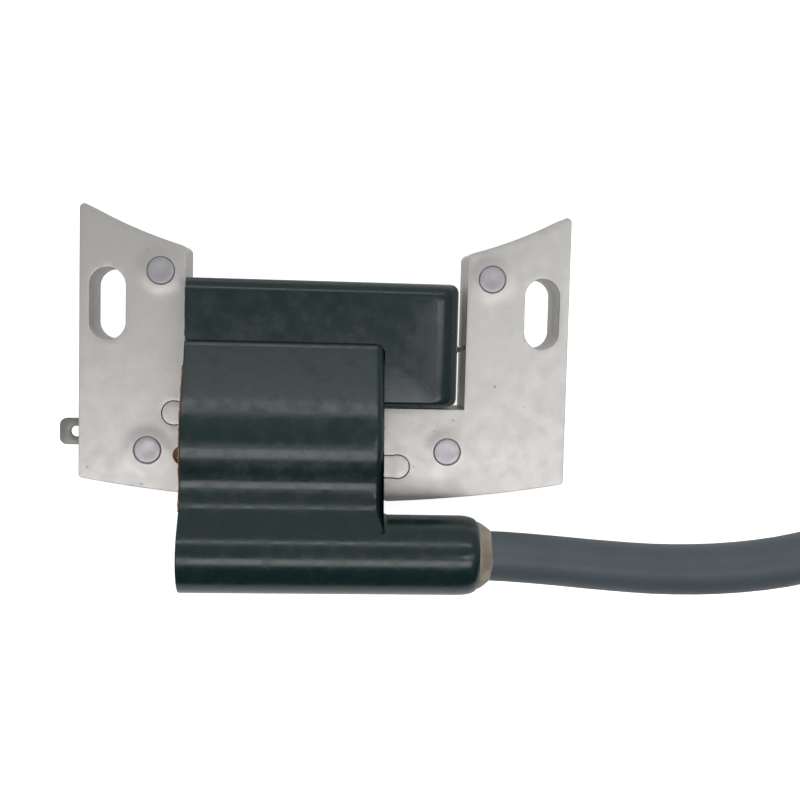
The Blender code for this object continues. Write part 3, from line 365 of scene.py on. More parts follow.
def smoothstep(t):
    t = min(1.0, max(0.0, t))
    return t * t * (3 - 2 * t)


# Finishes


def node_group(name, inputs, outputs):
    """A shader group with (name, type, default) inputs and (name, type) outputs, and its ends."""
    group = bpy.data.node_groups.new(name, "ShaderNodeTree")
    for label, kind, default in inputs:
        made = group.interface.new_socket(name=label, in_out="INPUT", socket_type=kind)
        made.default_value = default
    for label, kind in outputs:
        group.interface.new_socket(name=label, in_out="OUTPUT", socket_type=kind)
    return group, group.nodes.new("NodeGroupInput"), group.nodes.new("NodeGroupOutput")


def add(tree, kind, **values):
    """A node with these values, each put on its socket of that name or else on the node."""
    node = tree.nodes.new(kind)
    for name, value in values.items():
        if name in node.inputs:
            node.inputs[name].default_value = value
        else:
            setattr(node, name, value)
    return node


def joined(tree, source, target):
    tree.links.new(source, target)


def scaled_place(tree, scale):
    """Object coordinates times a scale that comes from a socket."""
    place = add(tree, "ShaderNodeTexCoord")
    grown = add(tree, "ShaderNodeVectorMath", operation="SCALE")
    joined(tree, place.outputs["Object"], grown.inputs[0])
    joined(tree, scale, grown.inputs["Scale"])
    return grown.outputs[0]


def mottle_group():
    """Cloudy change between two colours and two roughnesses, with small spots strewn over it."""
    group, start, end = node_group(
        "mottle",
        [
            ("Colour", "NodeSocketColor", (0.5, 0.5, 0.5, 1)),
            ("Second Colour", "NodeSocketColor", (0.4, 0.4, 0.4, 1)),
            ("Scale", "NodeSocketFloat", 120.0),
            ("Low Roughness", "NodeSocketFloat", 0.3),
            ("High Roughness", "NodeSocketFloat", 0.5),
            ("Spot Colour", "NodeSocketColor", (0.3, 0.3, 0.3, 1)),
            ("Spot Scale", "NodeSocketFloat", 500.0),
            ("Spot Size", "NodeSocketFloat", 0.0),
        ],
        [("Colour", "NodeSocketColor"), ("Roughness", "NodeSocketFloat")],
    )
    clouds = add(group, "ShaderNodeTexNoise", Scale=1.0, Detail=5.0, Roughness=0.6)
    spread = add(group, "ShaderNodeMapRange")
    spread.inputs["From Min"].default_value = 0.33
    spread.inputs["From Max"].default_value = 0.67
    blend = add(group, "ShaderNodeMix", data_type="RGBA")
    rough = add(group, "ShaderNodeMapRange")
    cells = add(group, "ShaderNodeTexVoronoi", Scale=1.0)
    near = add(group, "ShaderNodeMath", operation="LESS_THAN")
    spotted = add(group, "ShaderNodeMix", data_type="RGBA")
    joined(group, scaled_place(group, start.outputs["Scale"]), clouds.inputs["Vector"])
    joined(group, clouds.outputs["Fac"], spread.inputs["Value"])
    joined(group, spread.outputs["Result"], blend.inputs["Factor"])
    joined(group, start.outputs["Colour"], blend.inputs["A"])
    joined(group, start.outputs["Second Colour"], blend.inputs["B"])
    joined(group, spread.outputs["Result"], rough.inputs["Value"])
    joined(group, start.outputs["Low Roughness"], rough.inputs["To Min"])
    joined(group, start.outputs["High Roughness"], rough.inputs["To Max"])
    joined(group, scaled_place(group, start.outputs["Spot Scale"]), cells.inputs["Vector"])
    joined(group, cells.outputs["Distance"], near.inputs[0])
    joined(group, start.outputs["Spot Size"], near.inputs[1])
    joined(group, near.outputs[0], spotted.inputs["Factor"])
    joined(group, blend.outputs["Result"], spotted.inputs["A"])
    joined(group, start.outputs["Spot Colour"], spotted.inputs["B"])
    joined(group, spotted.outputs["Result"], end.inputs["Colour"])
    joined(group, rough.outputs["Result"], end.inputs["Roughness"])
    return group


def grain_group():
    """Height of a fine grain laid over slow waves."""
    group, start, end = node_group(
        "grain",
        [
            ("Fine Scale", "NodeSocketFloat", 3000.0),
            ("Wave Scale", "NodeSocketFloat", 150.0),
            ("Fine Share", "NodeSocketFloat", 0.5),
        ],
        [("Height", "NodeSocketFloat")],
    )
    fine = add(group, "ShaderNodeTexNoise", Scale=1.0, Detail=3.0)
    waves = add(group, "ShaderNodeTexNoise", Scale=1.0, Detail=1.0)
    joined(group, scaled_place(group, start.outputs["Fine Scale"]), fine.inputs["Vector"])
    joined(group, scaled_place(group, start.outputs["Wave Scale"]), waves.inputs["Vector"])
    mix = add(group, "ShaderNodeMix")
    joined(group, start.outputs["Fine Share"], mix.inputs["Factor"])
    joined(group, waves.outputs["Fac"], mix.inputs["A"])
    joined(group, fine.outputs["Fac"], mix.inputs["B"])
    joined(group, mix.outputs["Result"], end.inputs["Height"])
    return group


def placed_group(tree, name, make, **values):
    """A node that uses the named group, which is made the first time."""
    node = add(tree, "ShaderNodeGroup")
    node.node_tree = bpy.data.node_groups.get(name) or make()
    for label, value in values.items():
        node.inputs[label.replace("_", " ")].default_value = value
    return node


def finish(
    name,
    base,
    second=None,
    scale=120.0,
    roughness=(0.3, 0.45),
    metallic=0.0,
    bump=0.1,
    depth=0.05 * MM,
    fine=3000.0,
    waves=150.0,
    fine_share=0.5,
    spots=(500.0, 0.0, (0.3, 0.3, 0.3)),
    **shader_values,
):
    """A Principled material with mottled colour and roughness, and a grain.

    scale, fine and waves are in cells per metre. spots are their cells per metre, the share of a
    cell that one fills and their colour.
    """
    found = bpy.data.materials.get(f"{name}_finish")
    if found:
        return found
    made = bpy.data.materials.new(f"{name}_finish")
    made.use_nodes = True
    tree = made.node_tree
    shader = tree.nodes["Principled BSDF"]
    shader.inputs["Metallic"].default_value = metallic
    for label, value in shader_values.items():
        shader.inputs[label.replace("_", " ")].default_value = value
    second = second or tuple(value * 0.8 for value in base)
    mottle = placed_group(
        tree,
        "mottle",
        mottle_group,
        Colour=(*base, 1),
        Second_Colour=(*second, 1),
        Scale=scale,
        Low_Roughness=roughness[0],
        High_Roughness=roughness[1],
        Spot_Scale=spots[0],
        Spot_Size=spots[1],
        Spot_Colour=(*spots[2], 1),
    )
    grain = placed_group(
        tree, "grain", grain_group, Fine_Scale=fine, Wave_Scale=waves, Fine_Share=fine_share
    )
    raised = add(tree, "ShaderNodeBump", Strength=bump, Distance=depth)
    joined(tree, grain.outputs["Height"], raised.inputs["Height"])
    joined(tree, mottle.outputs["Colour"], shader.inputs["Base Color"])
    joined(tree, mottle.outputs["Roughness"], shader.inputs["Roughness"])
    joined(tree, raised.outputs["Normal"], shader.inputs["Normal"])
    return made


# Name, second colour or share of the first, and the rest of each finish whose colour is a setting
FINISHES = {
    "steel": (
        "core_sheet",
        (0.51, 0.49, 0.475),
        {"scale": 420, "roughness": (0.33, 0.40), "metallic": 0.55, "bump": 0.6, "fine": 2300}
        | {"waves": 260, "fine_share": 0.4, "spots": (260, 0.055, (0.3, 0.29, 0.28))},
    ),
    "rivet": (
        "peened_rivet",
        0.85,
        {"scale": 500, "roughness": (0.32, 0.45), "metallic": 0.55, "bump": 0.5}
        | {"depth": 0.06 * MM, "fine": 1500, "waves": 600},
    ),
    "plastic": (
        "housing_plastic",
        (0.010, 0.0235, 0.0235),
        {"scale": 420, "roughness": (0.17, 0.31), "bump": 0.3, "fine": 2600, "waves": 520}
        | {"fine_share": 0.45, "spots": (700, 0.07, (0.03, 0.034, 0.032))},
    ),
    "resin": (
        "potting_resin",
        (0.22, 0.075, 0.018),
        {"scale": 260, "roughness": (0.12, 0.28), "bump": 0.3, "depth": 0.1 * MM, "fine": 900}
        | {"waves": 200, "Coat_Weight": 0.4, "Coat_Roughness": 0.08},
    ),
    "sealant": (
        "tower_sealant",
        (0.24, 0.19, 0.15),
        {"scale": 420, "roughness": (0.25, 0.5), "bump": 0.5, "depth": 0.12 * MM, "fine": 1400}
        | {"waves": 500},
    ),
    "lead": (
        "lead_rubber",
        0.88,
        {"scale": 140, "roughness": (0.42, 0.52), "bump": 0.25, "fine": 2500, "waves": 260}
        | {"fine_share": 0.6, "Specular_IOR_Level": 0.3},
    ),
    "boot": (
        "boot_rubber",
        0.8,
        {"roughness": (0.5, 0.65), "bump": 0.3, "depth": 0.06 * MM, "fine": 2000, "waves": 300},
    ),
}


def finish_of(setting):
    """The finish whose colour is this setting."""
    base = tuple(getattr(settings("coil_colours"), setting))
    name, second, values = FINISHES[setting]
    if isinstance(second, float):
        second = tuple(value * second for value in base)
    return finish(name, base, second, **values)


def dress(node, material):
    """Gives a carried-over CAD node its finish."""
    materials = frame["nodes"][node].data.materials
    materials.clear()
    materials.append(material)


def line_object(name, points, radius, roundness, material, widths=None):
    """A round cord through points, with a share of its radius at each point if widths has them."""
    curve = bpy.data.curves.new(name, "CURVE")
    curve.dimensions = "3D"
    curve.bevel_depth = radius
    curve.bevel_resolution = roundness
    curve.use_fill_caps = True
    spline = curve.splines.new("POLY")
    spline.points.add(len(points) - 1)
    for i, (point, where) in enumerate(zip(spline.points, points)):
        point.co = (*where, 1)
        point.radius = widths[i] if widths else 1
    curve.materials.append(material)
    return link(bpy.data.objects.new(name, curve))


# Stage


class COIL_OT_stage(bpy.types.Operator):
    """Lays the pale floor and sets the camera and the soft lights"""

    bl_idname = "coil.stage"
    bl_label = "Stage"

    CAMERA_PLACE = (-1.258 * MM, -0.830 * MM, 182.836 * MM)
    CAMERA_TURN = (-4.173, -4.105, 1.134)  # degrees about X, Y and Z, Z first
    CAMERA_LENS = 51.75
    FLOOR_SIZE = 6.0
    GLOW_AS_LIGHT = 0.3
    GLOW_AS_SEEN = 0.8  # so that the floor is white in the picture
    ROOM_STOPS = ((0.4, 0.16), (0.48, 0.34), (0.72, 0.4))  # share of the way to +Y, and radiance
    # name, degrees from overhead towards +X and +Y, width along X and across, distance, radiance
    PANELS = (
        ("near_panel", (0, -17.0), (0.75, 0.16), 0.6, 3.5),
        ("far_panel", (0, 37.5), (0.75, 0.075), 0.6, 3.2),
        ("side_panel", (24, 2), (0.08, 0.30), 0.62, 3.2),
    )

    def floor(self):
        bpy.ops.mesh.primitive_plane_add(size=self.FLOOR_SIZE, location=(0, 0, FLOOR_Z))
        floor = bpy.context.object
        floor.name = "floor"
        material = bpy.data.materials.new("floor")
        material.use_nodes = True
        shader = material.node_tree.nodes["Principled BSDF"]
        pale = (*settings("coil_colours").floor, 1)
        shader.inputs["Base Color"].default_value = pale
        shader.inputs["Roughness"].default_value = 0.9
        shader.inputs["Specular IOR Level"].default_value = 0.0
        shader.inputs["Emission Color"].default_value = (1, 1, 1, 1)
        sight = add(material.node_tree, "ShaderNodeLightPath")
        glow = add(material.node_tree, "ShaderNodeMapRange")
        glow.inputs["To Min"].default_value = self.GLOW_AS_LIGHT
        glow.inputs["To Max"].default_value = self.GLOW_AS_SEEN
        joined(material.node_tree, sight.outputs["Is Camera Ray"], glow.inputs["Value"])
        joined(material.node_tree, glow.outputs["Result"], shader.inputs["Emission Strength"])
        floor.data.materials.append(material)

    def panel(self, name, lean, extent, distance, radiance):
        data = bpy.data.lights.new(name, "AREA")
        data.shape = "RECTANGLE"
        data.size, data.size_y = extent
        data.energy = radiance * math.pi * extent[0] * extent[1]
        lamp = link(bpy.data.objects.new(name, data))
        across, up = (math.tan(math.radians(angle)) for angle in lean)
        towards = Vector((across, up, 1)).normalized()
        lamp.location = towards * distance
        lamp.rotation_mode = "QUATERNION"
        lamp.rotation_quaternion = towards.to_track_quat("Z", "Y")

    def surroundings(self):
        """A dim room, lighter towards +Y, behind a pale backdrop that only the camera sees."""
        world = bpy.data.worlds.new("studio")
        bpy.context.scene.world = world
        world.use_nodes = True
        tree = world.node_tree
        background = tree.nodes["Background"]
        place = add(tree, "ShaderNodeTexCoord")
        parts = add(tree, "ShaderNodeSeparateXYZ")
        ramp = add(tree, "ShaderNodeValToRGB")
        shift = add(tree, "ShaderNodeMath", operation="MULTIPLY_ADD")
        shift.inputs[1].default_value = 0.5
        shift.inputs[2].default_value = 0.5
        joined(tree, place.outputs["Generated"], parts.inputs[0])
        joined(tree, parts.outputs["Y"], shift.inputs[0])
        joined(tree, shift.outputs[0], ramp.inputs["Fac"])
        stops = ramp.color_ramp.elements
        stops[0].position, stops[0].color = 0.25, (0.04, 0.045, 0.05, 1)
        stops[1].position, stops[1].color = 0.9, (0.5, 0.52, 0.52, 1)
        for position, value in self.ROOM_STOPS:
            stop = stops.new(position)
            stop.color = (value * 0.95, value, value, 1)
        joined(tree, ramp.outputs["Color"], background.inputs["Color"])
        plain = add(tree, "ShaderNodeBackground")
        plain.inputs["Color"].default_value = (0.93, 0.93, 0.93, 1)
        sight = add(tree, "ShaderNodeLightPath")
        mix = add(tree, "ShaderNodeMixShader")
        joined(tree, sight.outputs["Is Camera Ray"], mix.inputs[0])
        joined(tree, background.outputs[0], mix.inputs[1])
        joined(tree, plain.outputs[0], mix.inputs[2])
        joined(tree, mix.outputs[0], tree.nodes["World Output"].inputs["Surface"])

    def execute(self, context):
        self.floor()
        for row in self.PANELS:
            self.panel(*row)
        self.surroundings()
        data = bpy.data.cameras.new("camera")
        data.lens = self.CAMERA_LENS
        data.clip_start = 0.01
        camera = link(bpy.data.objects.new("camera", data))
        camera.location = self.CAMERA_PLACE
        camera.rotation_mode = "ZYX"
        camera.rotation_euler = [math.radians(angle) for angle in self.CAMERA_TURN]
        context.scene.camera = camera
        context.scene.view_settings.view_transform = "Standard"
        return {"FINISHED"}


# Lead and boot


def smooth_route(points, step):
    """Even points along a smooth curve through the given points."""
    places = [Vector(p) for p in points]
    ends = [2 * places[0] - places[1], *places, 2 * places[-1] - places[-2]]
    fine = []
    for a, b, c, d in zip(ends, ends[1:], ends[2:], ends[3:]):
        for i in range(16):
            t = i / 16
            curve = 2 * b + (c - a) * t + (2 * a - 5 * b + 4 * c - d) * t**2
            fine.append((curve + (3 * b - a - 3 * c + d) * t**3) / 2)
    fine.append(places[-1])
    lengths = [(q - p).length for p, q in zip(fine, fine[1:])]
    count = max(2, round(sum(lengths) / step))
    gap = sum(lengths) / count
    even, walked = [fine[0]], 0.0
    for (p, q), length in zip(zip(fine, fine[1:]), lengths):
        while len(even) < count and walked + length >= gap * len(even):
            even.append(p.lerp(q, (gap * len(even) - walked) / length))
        walked += length
    return [*even, fine[-1]]


def tower_axis():
    radius = settings("coil_housings").tower_radius
    return Vector((0, HOUSING[0].y + radius, HOUSING[1].z - radius))


def lead_route():
    """Out of the tower, over its own stiffness and down to the floor, then round to the boot."""
    lead = settings("coil_lead")
    start_x = HOUSING[1].x - settings("coil_housings").bore_depth + 2.35 * MM
    axis = tower_axis()
    low = FLOOR_Z + lead.radius
    rise = [
        (start_x, 0, 0),
        (start_x + 7 * MM, 0, 0),
        (25 * MM, -0.05 * MM, 0.1 * MM),
        (32 * MM, -0.4 * MM, 0.6 * MM),
        (40 * MM, -0.8 * MM, 2.0 * MM),
        (48 * MM, -0.9 * MM, 3.9 * MM),
        (56 * MM, -0.3 * MM, 6.0 * MM),
        (64 * MM, 1.0 * MM, 7.6 * MM),
        (72 * MM, 2.9 * MM, 7.7 * MM),
    ]
    points = [(x, axis.y + y, axis.z + z) for x, y, z in rise]
    points += [
        (81 * MM, -30.3 * MM, 24.0 * MM),
        (89.5 * MM, -28.4 * MM, 18.2 * MM),
        (97.5 * MM, -26.8 * MM, 10.9 * MM),
        (105.5 * MM, -25.3 * MM, 3.4 * MM),
        (114.5 * MM, -23.6 * MM, low + 2.6 * MM),
        (124.5 * MM, -22.5 * MM, low + 0.2 * MM),
    ]
    turn = arc((134 * MM, lead.turn_radius - 22.2 * MM), lead.turn_radius, -90, 90, 8)
    lift = FLOOR_Z + lead.boot_radius - low
    points += [(x, y, low + lift * min(1, max(0, i - 3) / 4)) for i, (x, y) in enumerate(turn)]
    end_x, end_y = turn[-1]
    points += [(end_x - reach * MM, end_y, low + lift) for reach in (7, 14, 21)]
    return points


class COIL_OT_lead(bpy.types.Operator):
    """Makes the spark plug lead with its boot and clip"""

    bl_idname = "coil.lead"
    bl_label = "Spark plug lead"

    STEP = 3 * MM
    GRIP_RADIUS = 3.75 * MM  # of the boot's hole for the lead
    GRIP_LENGTH = 14 * MM
    SOCKET_RADIUS = 4.6 * MM
    SOCKET_DEPTH = 17 * MM  # of its floor from the end that the lead enters
    STUD_HOLE_RADIUS = 1.25 * MM
    GRIP_RINGS = 3
    RING_PITCH = 2.1 * MM
    RING_LENGTH = 1.4 * MM
    RING_HEIGHT = 0.35 * MM
    CLIP_LENGTH = 11 * MM
    CLIP_WALL = 0.5 * MM
    FINGERS = 4
    FINGER_SHARE = 0.88  # of its quarter that each finger fills

    def boot(self):
        """A moulded boot with a thick lip and grip rings, open towards -X."""
        low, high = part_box("plug_boot")
        axis = (0, (low.y + high.y) / 2, (low.z + high.z) / 2)
        radius = settings("coil_lead").boot_radius
        entry, mouth = high.x, low.x
        grip, body, waist = self.GRIP_RADIUS, radius * 0.9, radius * 0.8
        socket, floor = self.SOCKET_RADIUS, entry - self.SOCKET_DEPTH
        profile = [(grip, entry), (waist * 0.82, entry), (waist * 0.88, entry - 0.5 * MM)]
        profile += [(waist, entry - 3 * MM), (waist, entry - 4 * MM)]
        for i in range(self.GRIP_RINGS):
            at = entry - 5 * MM - self.RING_PITCH * i
            profile += [
                (
                    waist + self.RING_HEIGHT * math.sin(math.pi * k / 6),
                    at - self.RING_LENGTH * k / 6,
                )
                for k in range(7)
            ]
        profile += [(waist, entry - 12 * MM), (body, floor)]
        profile += [(body, mouth + 5.5 * MM), (body + 0.1 * MM, mouth + 5.2 * MM)]
        profile += [(radius - 0.1 * MM, mouth + 4.1 * MM), (radius, mouth + 3.8 * MM)]
        profile += [
            (radius - 0.8 * MM * (1 - math.cos(a)), mouth + 0.8 * MM * (1 - math.sin(a)))
            for a in (math.radians(15 * k) for k in range(7))
        ]
        profile += [(socket + 0.3 * MM, mouth), (socket, mouth + 0.3 * MM), (socket, floor)]
        profile += [(self.STUD_HOLE_RADIUS, floor)]
        profile += [(self.STUD_HOLE_RADIUS, entry - self.GRIP_LENGTH)]
        profile += [(grip, entry - self.GRIP_LENGTH), (grip, entry)]
        boot = turned("rubber_boot", profile, finish_of("boot"), 64, axis, "x")
        return settle(boot, "boot_rubber", "plug_boot")

    def clip(self):
        """A spring clip with a rolled mouth and slots between its fingers."""
        low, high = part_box("plug_clip")
        axis = Vector((0, (low.y + high.y) / 2, (low.z + high.z) / 2))
        outer = (high.y - low.y) / 2
        inner = outer - self.CLIP_WALL
        mouth, floor = low.x, low.x + self.CLIP_LENGTH
        # place along X, and how far a finger springs out there
        stations = [
            (mouth, 0.075),
            (mouth + 0.7 * MM, 0.0),
            (mouth + 2.5 * MM, -0.075),
            (mouth + 5 * MM, 0.0),
            (floor - 1.5 * MM, 0.0),
        ]
        bm = bmesh.new()
        steps = 9
        for finger in range(self.FINGERS):
            start = 2 * math.pi * (finger + (1 - self.FINGER_SHARE) / 2) / self.FINGERS
            turn = 2 * math.pi * self.FINGER_SHARE / self.FINGERS
            rows = []
            for x, spring in stations:
                for radius in (inner + (0.1 + spring) * MM, outer + (spring - 0.1) * MM):
                    angles = [start + turn * k / steps for k in range(steps + 1)]
                    places = [(x, radius * math.cos(a), radius * math.sin(a)) for a in angles]
                    rows.append([bm.verts.new(Vector(p) + axis) for p in places])
            pairs = list(zip(rows[0::2], rows[1::2]))
            for (a_in, a_out), (b_in, b_out) in zip(pairs, pairs[1:]):
                for k in range(steps):
                    bm.faces.new((a_in[k], a_in[k + 1], b_in[k + 1], b_in[k]))
                    bm.faces.new((a_out[k + 1], a_out[k], b_out[k], b_out[k + 1]))
                for k in (0, steps):
                    bm.faces.new((a_in[k], b_in[k], b_out[k], a_out[k]))
            for below, above in (pairs[0], pairs[-1]):
                for k in range(steps):
                    bm.faces.new((below[k], below[k + 1], above[k + 1], above[k]))
        steel = (0.5, 0.49, 0.46)
        metal = finish(
            "spring_clip", steel, roughness=(0.25, 0.4), metallic=1.0, fine=2600, waves=500
        )
        fingers_piece = object_from("clip_fingers", bm, metal)
        settle(fingers_piece, "terminal_steel")
        profile = [(0, floor), (outer, floor), (outer, floor - 1.4 * MM), (inner, floor - 1.6 * MM)]
        profile += [(inner, floor - 0.5 * MM), (0, floor - 0.5 * MM)]
        base = turned("clip_base", profile, metal, 48, axis, "x")
        settle(base, "terminal_steel", "plug_clip")
        profile = [(0, floor + 3 * MM), (0.9 * MM, floor + 3 * MM), (1.1 * MM, floor + 2.6 * MM)]
        profile += [(1.1 * MM, floor), (0, floor)]
        stud = turned("clip_stud", profile, metal, 24, axis, "x")
        settle(stud, "terminal_steel")
        return [fingers_piece, base, stud]

    def execute(self, context):
        lead = settings("coil_lead")
        points = smooth_route(lead_route(), self.STEP)
        jacket = line_object("lead_jacket", points, lead.radius, 10, finish_of("lead"))
        settle(jacket, "lead_rubber", "spark_plug_lead")
        pieces = [self.boot(), *self.clip()]
        exit_point = (HOUSING[1].x, tower_axis().y, tower_axis().z)
        return {"FINISHED"}


# Core

RIVET_RADIUS = 2.0 * MM
RIVET_GAP = 0.02 * MM  # line round each rivet
TONGUE_REACH = 1.7 * MM  # from the joint to the middle of a locking tongue
TONGUE_INSET = 1.95 * MM  # of that middle from the bar's edge
CORNER_MARGIN = 1.6 * MM  # that a curved edge leaves for the rounding at its ends


def pole_line(x):
    """Height of the pole faces' arc, which follows the flywheel."""
    core = settings("coil_core")
    return core.pole_y + core.pole_radius - math.sqrt(core.pole_radius**2 - x * x)


def back_line(x):
    """Height of the core's lower edge."""
    core = settings("coil_core")
    return core.back_y + core.back_radius - math.sqrt(core.back_radius**2 - x * x)


def along(rule, start, end, steps=24):
    """Corners along a curved edge, clear of the rounding at its ends."""
    margin = math.copysign(CORNER_MARGIN, end - start)
    first, last = start + margin, end - margin
    return [(x, rule(x), 0) for x in (first + (last - first) * i / steps for i in range(steps + 1))]


def tongue(face_x, side, centre, grow=0.0):
    """A locking tongue's corners, from its lower to its upper neck."""
    core = settings("coil_core")
    radius = core.tongue_radius + grow
    neck = core.tongue_neck / 2 + grow
    lean = math.degrees(math.asin(neck / radius))
    if side > 0:
        points = arc(centre, radius, lean - 180, 180 - lean, 28)
    else:
        points = arc(centre, radius, -lean, lean - 360, 28)
    whole = [(face_x, centre[1] - neck), *points, (face_x, centre[1] + neck)]
    return [(x, y, 0) for x, y in whole]


def slot_loop(side):
    """Outline of the left (-1) or the right (1) mounting slot."""
    core = settings("coil_core")
    half = core.slot_width / 2
    rise = core.slot_length / 2 - half
    middle = side * core.slot_x
    return arc((middle, rise), half, 0, 180, 28) + arc((middle, -rise), half, 180, 360, 28)


def rivet_places():
    """Middle of each rivet, by its node's name."""
    found = {}
    for name in ("rivet_upper_left", "rivet_lower_left", "rivet_upper_right", "rivet_lower_right"):
        low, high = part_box(name)
        found[name] = ((low.x + high.x) / 2, (low.y + high.y) / 2)
    return found


def sheet_stack(name, outline, holes, swellings):
    """A stack of sheets: grooves between them, a rolled front edge and swellings at the rivets."""
    core = settings("coil_core")
    loops = [turned_to(outline, 1)] + [turned_to(hole, -1) for hole in holes]
    aims = [outward(loop) for loop in loops]
    sheet = CORE_FRONT_Z / core.sheets
    half_groove = core.groove * 0.7
    levels = [(core.groove, 0.0), (0.0, core.groove)]
    uneven = random.Random(name)
    for i in range(1, core.sheets):
        joint = i * sheet
        shift = uneven.uniform(-0.25, 0.25) * core.groove
        levels += [(shift, joint - half_groove), (core.groove, joint), (shift, joint + half_groove)]
    edge = core.rolled_edge
    for k in range(7):
        angle = math.radians(15 * k)
        levels.append((edge * (1 - math.cos(angle)), CORE_FRONT_Z - edge * (1 - math.sin(angle))))
    bm = bmesh.new()
    tops, bottoms = [], []
    for loop, aim in zip(loops, aims):
        rings = []
        for inset, z in levels:
            places = [Vector(p) - n * inset for p, n in zip(loop, aim)]
            rings.append(ring(bm, [(p.x, p.y, z) for p in places]))
        skin(bm, rings)
        bottoms.append(rings[0])
        tops.append(rings[-1])

    def front_z(x, y):
        rise = 0.0
        for cx, cy in swellings:
            reach = max(0.0, math.hypot(x - cx, y - cy) - RIVET_RADIUS)
            rise += core.swell_height * math.exp(-((reach / core.swell_width) ** 2) * 1.6)
        return CORE_FRONT_Z + rise

    for loop in tops:
        for v in loop:
            v.co.z += front_z(v.co.x, v.co.y) - CORE_FRONT_Z
    xs = [p[0] for p in outline]
    ys = [p[1] for p in outline]
    grid = 0.9 * MM
    extra = []
    for middle in swellings:
        for step in range(1, 9):
            extra += circle(middle, RIVET_RADIUS + 0.14 * MM + 0.3 * MM * step)
    for i in range(int((max(xs) - min(xs)) / grid)):
        for j in range(int((max(ys) - min(ys)) / grid)):
            point = (min(xs) + (i + 0.5) * grid, min(ys) + (j + 0.5) * grid)
            if all(math.dist(point, c) > RIVET_RADIUS + 2.9 * MM for c in swellings):
                extra.append(point)
    rims = []
    for loop, aim, margin in zip(loops, aims, [0.35 * MM] + [0.1 * MM] * len(holes)):
        moved = [Vector(p) - n * (edge + margin) for p, n in zip(loop, aim)]
        rims.append([(p.x, p.y) for p in moved])
    extra = [
        p for p in extra if inside(p, rims[0]) and not any(inside(p, hole) for hole in rims[1:])
    ]
    cap(bm, tops, seen_from_front, extra, lambda p: bm.verts.new((p[0], p[1], front_z(*p))))
    cap(bm, bottoms, seen_from_front)
    return object_from(name, bm, finish_of("steel"), 50)


class COIL_OT_core(bpy.types.Operator):
    """Makes the two legs and the centre bar as stacks of steel sheets"""

    bl_idname = "coil.core"
    bl_label = "Laminated core"

    TIP_ROUND = 0.7 * MM
    HEEL_ROUND = 1.0 * MM
    OUTER_ROUND = 0.6 * MM
    FOOT_ROUND = 1.2 * MM

    def execute(self, context):
        core = settings("coil_core")
        inner, outer = LEG_INNER_X, LEG_OUTER_X
        gap = core.joint_gap
        foot_x = BODY_RIGHT_X + 0.1 * MM
        left_tongue = (-inner + gap - TONGUE_REACH, BAR[1].y - TONGUE_INSET)
        right_tongue = (RIGHT_LEG[0].x - gap + TONGUE_REACH, BAR[0].y + TONGUE_INSET)
        places = rivet_places()
        holes = {name: circle(place, RIVET_RADIUS + RIVET_GAP) for name, place in places.items()}
        left = rounded(
            [
                (-outer, back_line(outer), self.OUTER_ROUND),
                *along(back_line, -outer, -inner),
                (-inner, back_line(inner), 0),
                *tongue(-inner, -1, left_tongue, gap),
                (-inner, pole_line(inner), self.HEEL_ROUND),
                *along(pole_line, -inner, -outer),
                (-outer, pole_line(outer), self.TIP_ROUND),
            ]
        )
        own = [name for name in places if name.endswith("left")]
        loops = [slot_loop(-1), *(holes[name] for name in own)]
        leg = sheet_stack("left_leg_sheets", left, loops, [places[name] for name in own])
        settle(leg, "core_steel", "left_leg_laminations")
        right = rounded(
            [
                (foot_x, back_line(foot_x), self.FOOT_ROUND),
                *along(back_line, foot_x, outer, 40),
                (outer, back_line(outer), self.OUTER_ROUND),
                (outer, pole_line(outer), self.TIP_ROUND),
                *along(pole_line, outer, inner),
                (inner, pole_line(inner), self.HEEL_ROUND),
                (inner, core.foot_top, 0),
                (foot_x, core.foot_top, 0),
                *reversed(tongue(foot_x, 1, right_tongue, gap)),
            ]
        )
        own = [name for name in places if name.endswith("right")]
        loops = [slot_loop(1), *(holes[name] for name in own)]
        leg = sheet_stack("right_leg_sheets", right, loops, [places[name] for name in own])
        settle(leg, "core_steel", "right_leg_laminations")
        left_x, right_x = -inner + gap, foot_x - gap
        bar = [
            (left_x, BAR[0].y, 0),
            (right_x, BAR[0].y, 0),
            *tongue(right_x, 1, right_tongue),
            (right_x, BAR[1].y, 0),
            (left_x, BAR[1].y, 0),
            *reversed(tongue(left_x, -1, left_tongue)),
        ]
        piece = sheet_stack("centre_bar_sheets", [(x, y) for x, y, _ in bar], [], [])
        settle(piece, "core_steel", "centre_bar_laminations")
        return {"FINISHED"}


class COIL_OT_rivets(bpy.types.Operator):
    """Makes the four rivets, peened nearly flush in front"""

    bl_idname = "coil.rivets"
    bl_label = "Rivets"

    # radius, and drop below the top, in millimetres
    PEENED_END = ((0, 0.05), (0.5, 0.045), (1.1, 0.01), (1.5, 0), (1.8, 0.01), (1.94, 0.04))

    def execute(self, context):
        swell = settings("coil_core").swell_height
        for name, (x, y) in rivet_places().items():
            low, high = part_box(name)
            head, back = (high.x - low.x) / 2, low.z
            top = CORE_FRONT_Z + swell
            profile = [(radius * MM, top - drop * MM) for radius, drop in self.PEENED_END]
            profile += [(RIVET_RADIUS, top - 0.1 * MM), (RIVET_RADIUS, back + 0.6 * MM)]
            profile += [(head - 0.1 * MM, back + 0.6 * MM), (head, back + 0.5 * MM)]
            profile += [(head, back + 0.3 * MM), (head - 0.3 * MM, back + 0.08 * MM)]
            profile += [(head - 0.7 * MM, back), (0, back)]
            piece_name = name.replace("rivet", "peened_rivet")
            piece = turned(piece_name, profile, finish_of("rivet"), 64, (x, y, 0))
            settle(piece, "rivet_steel", name)
        return {"FINISHED"}


# Housings


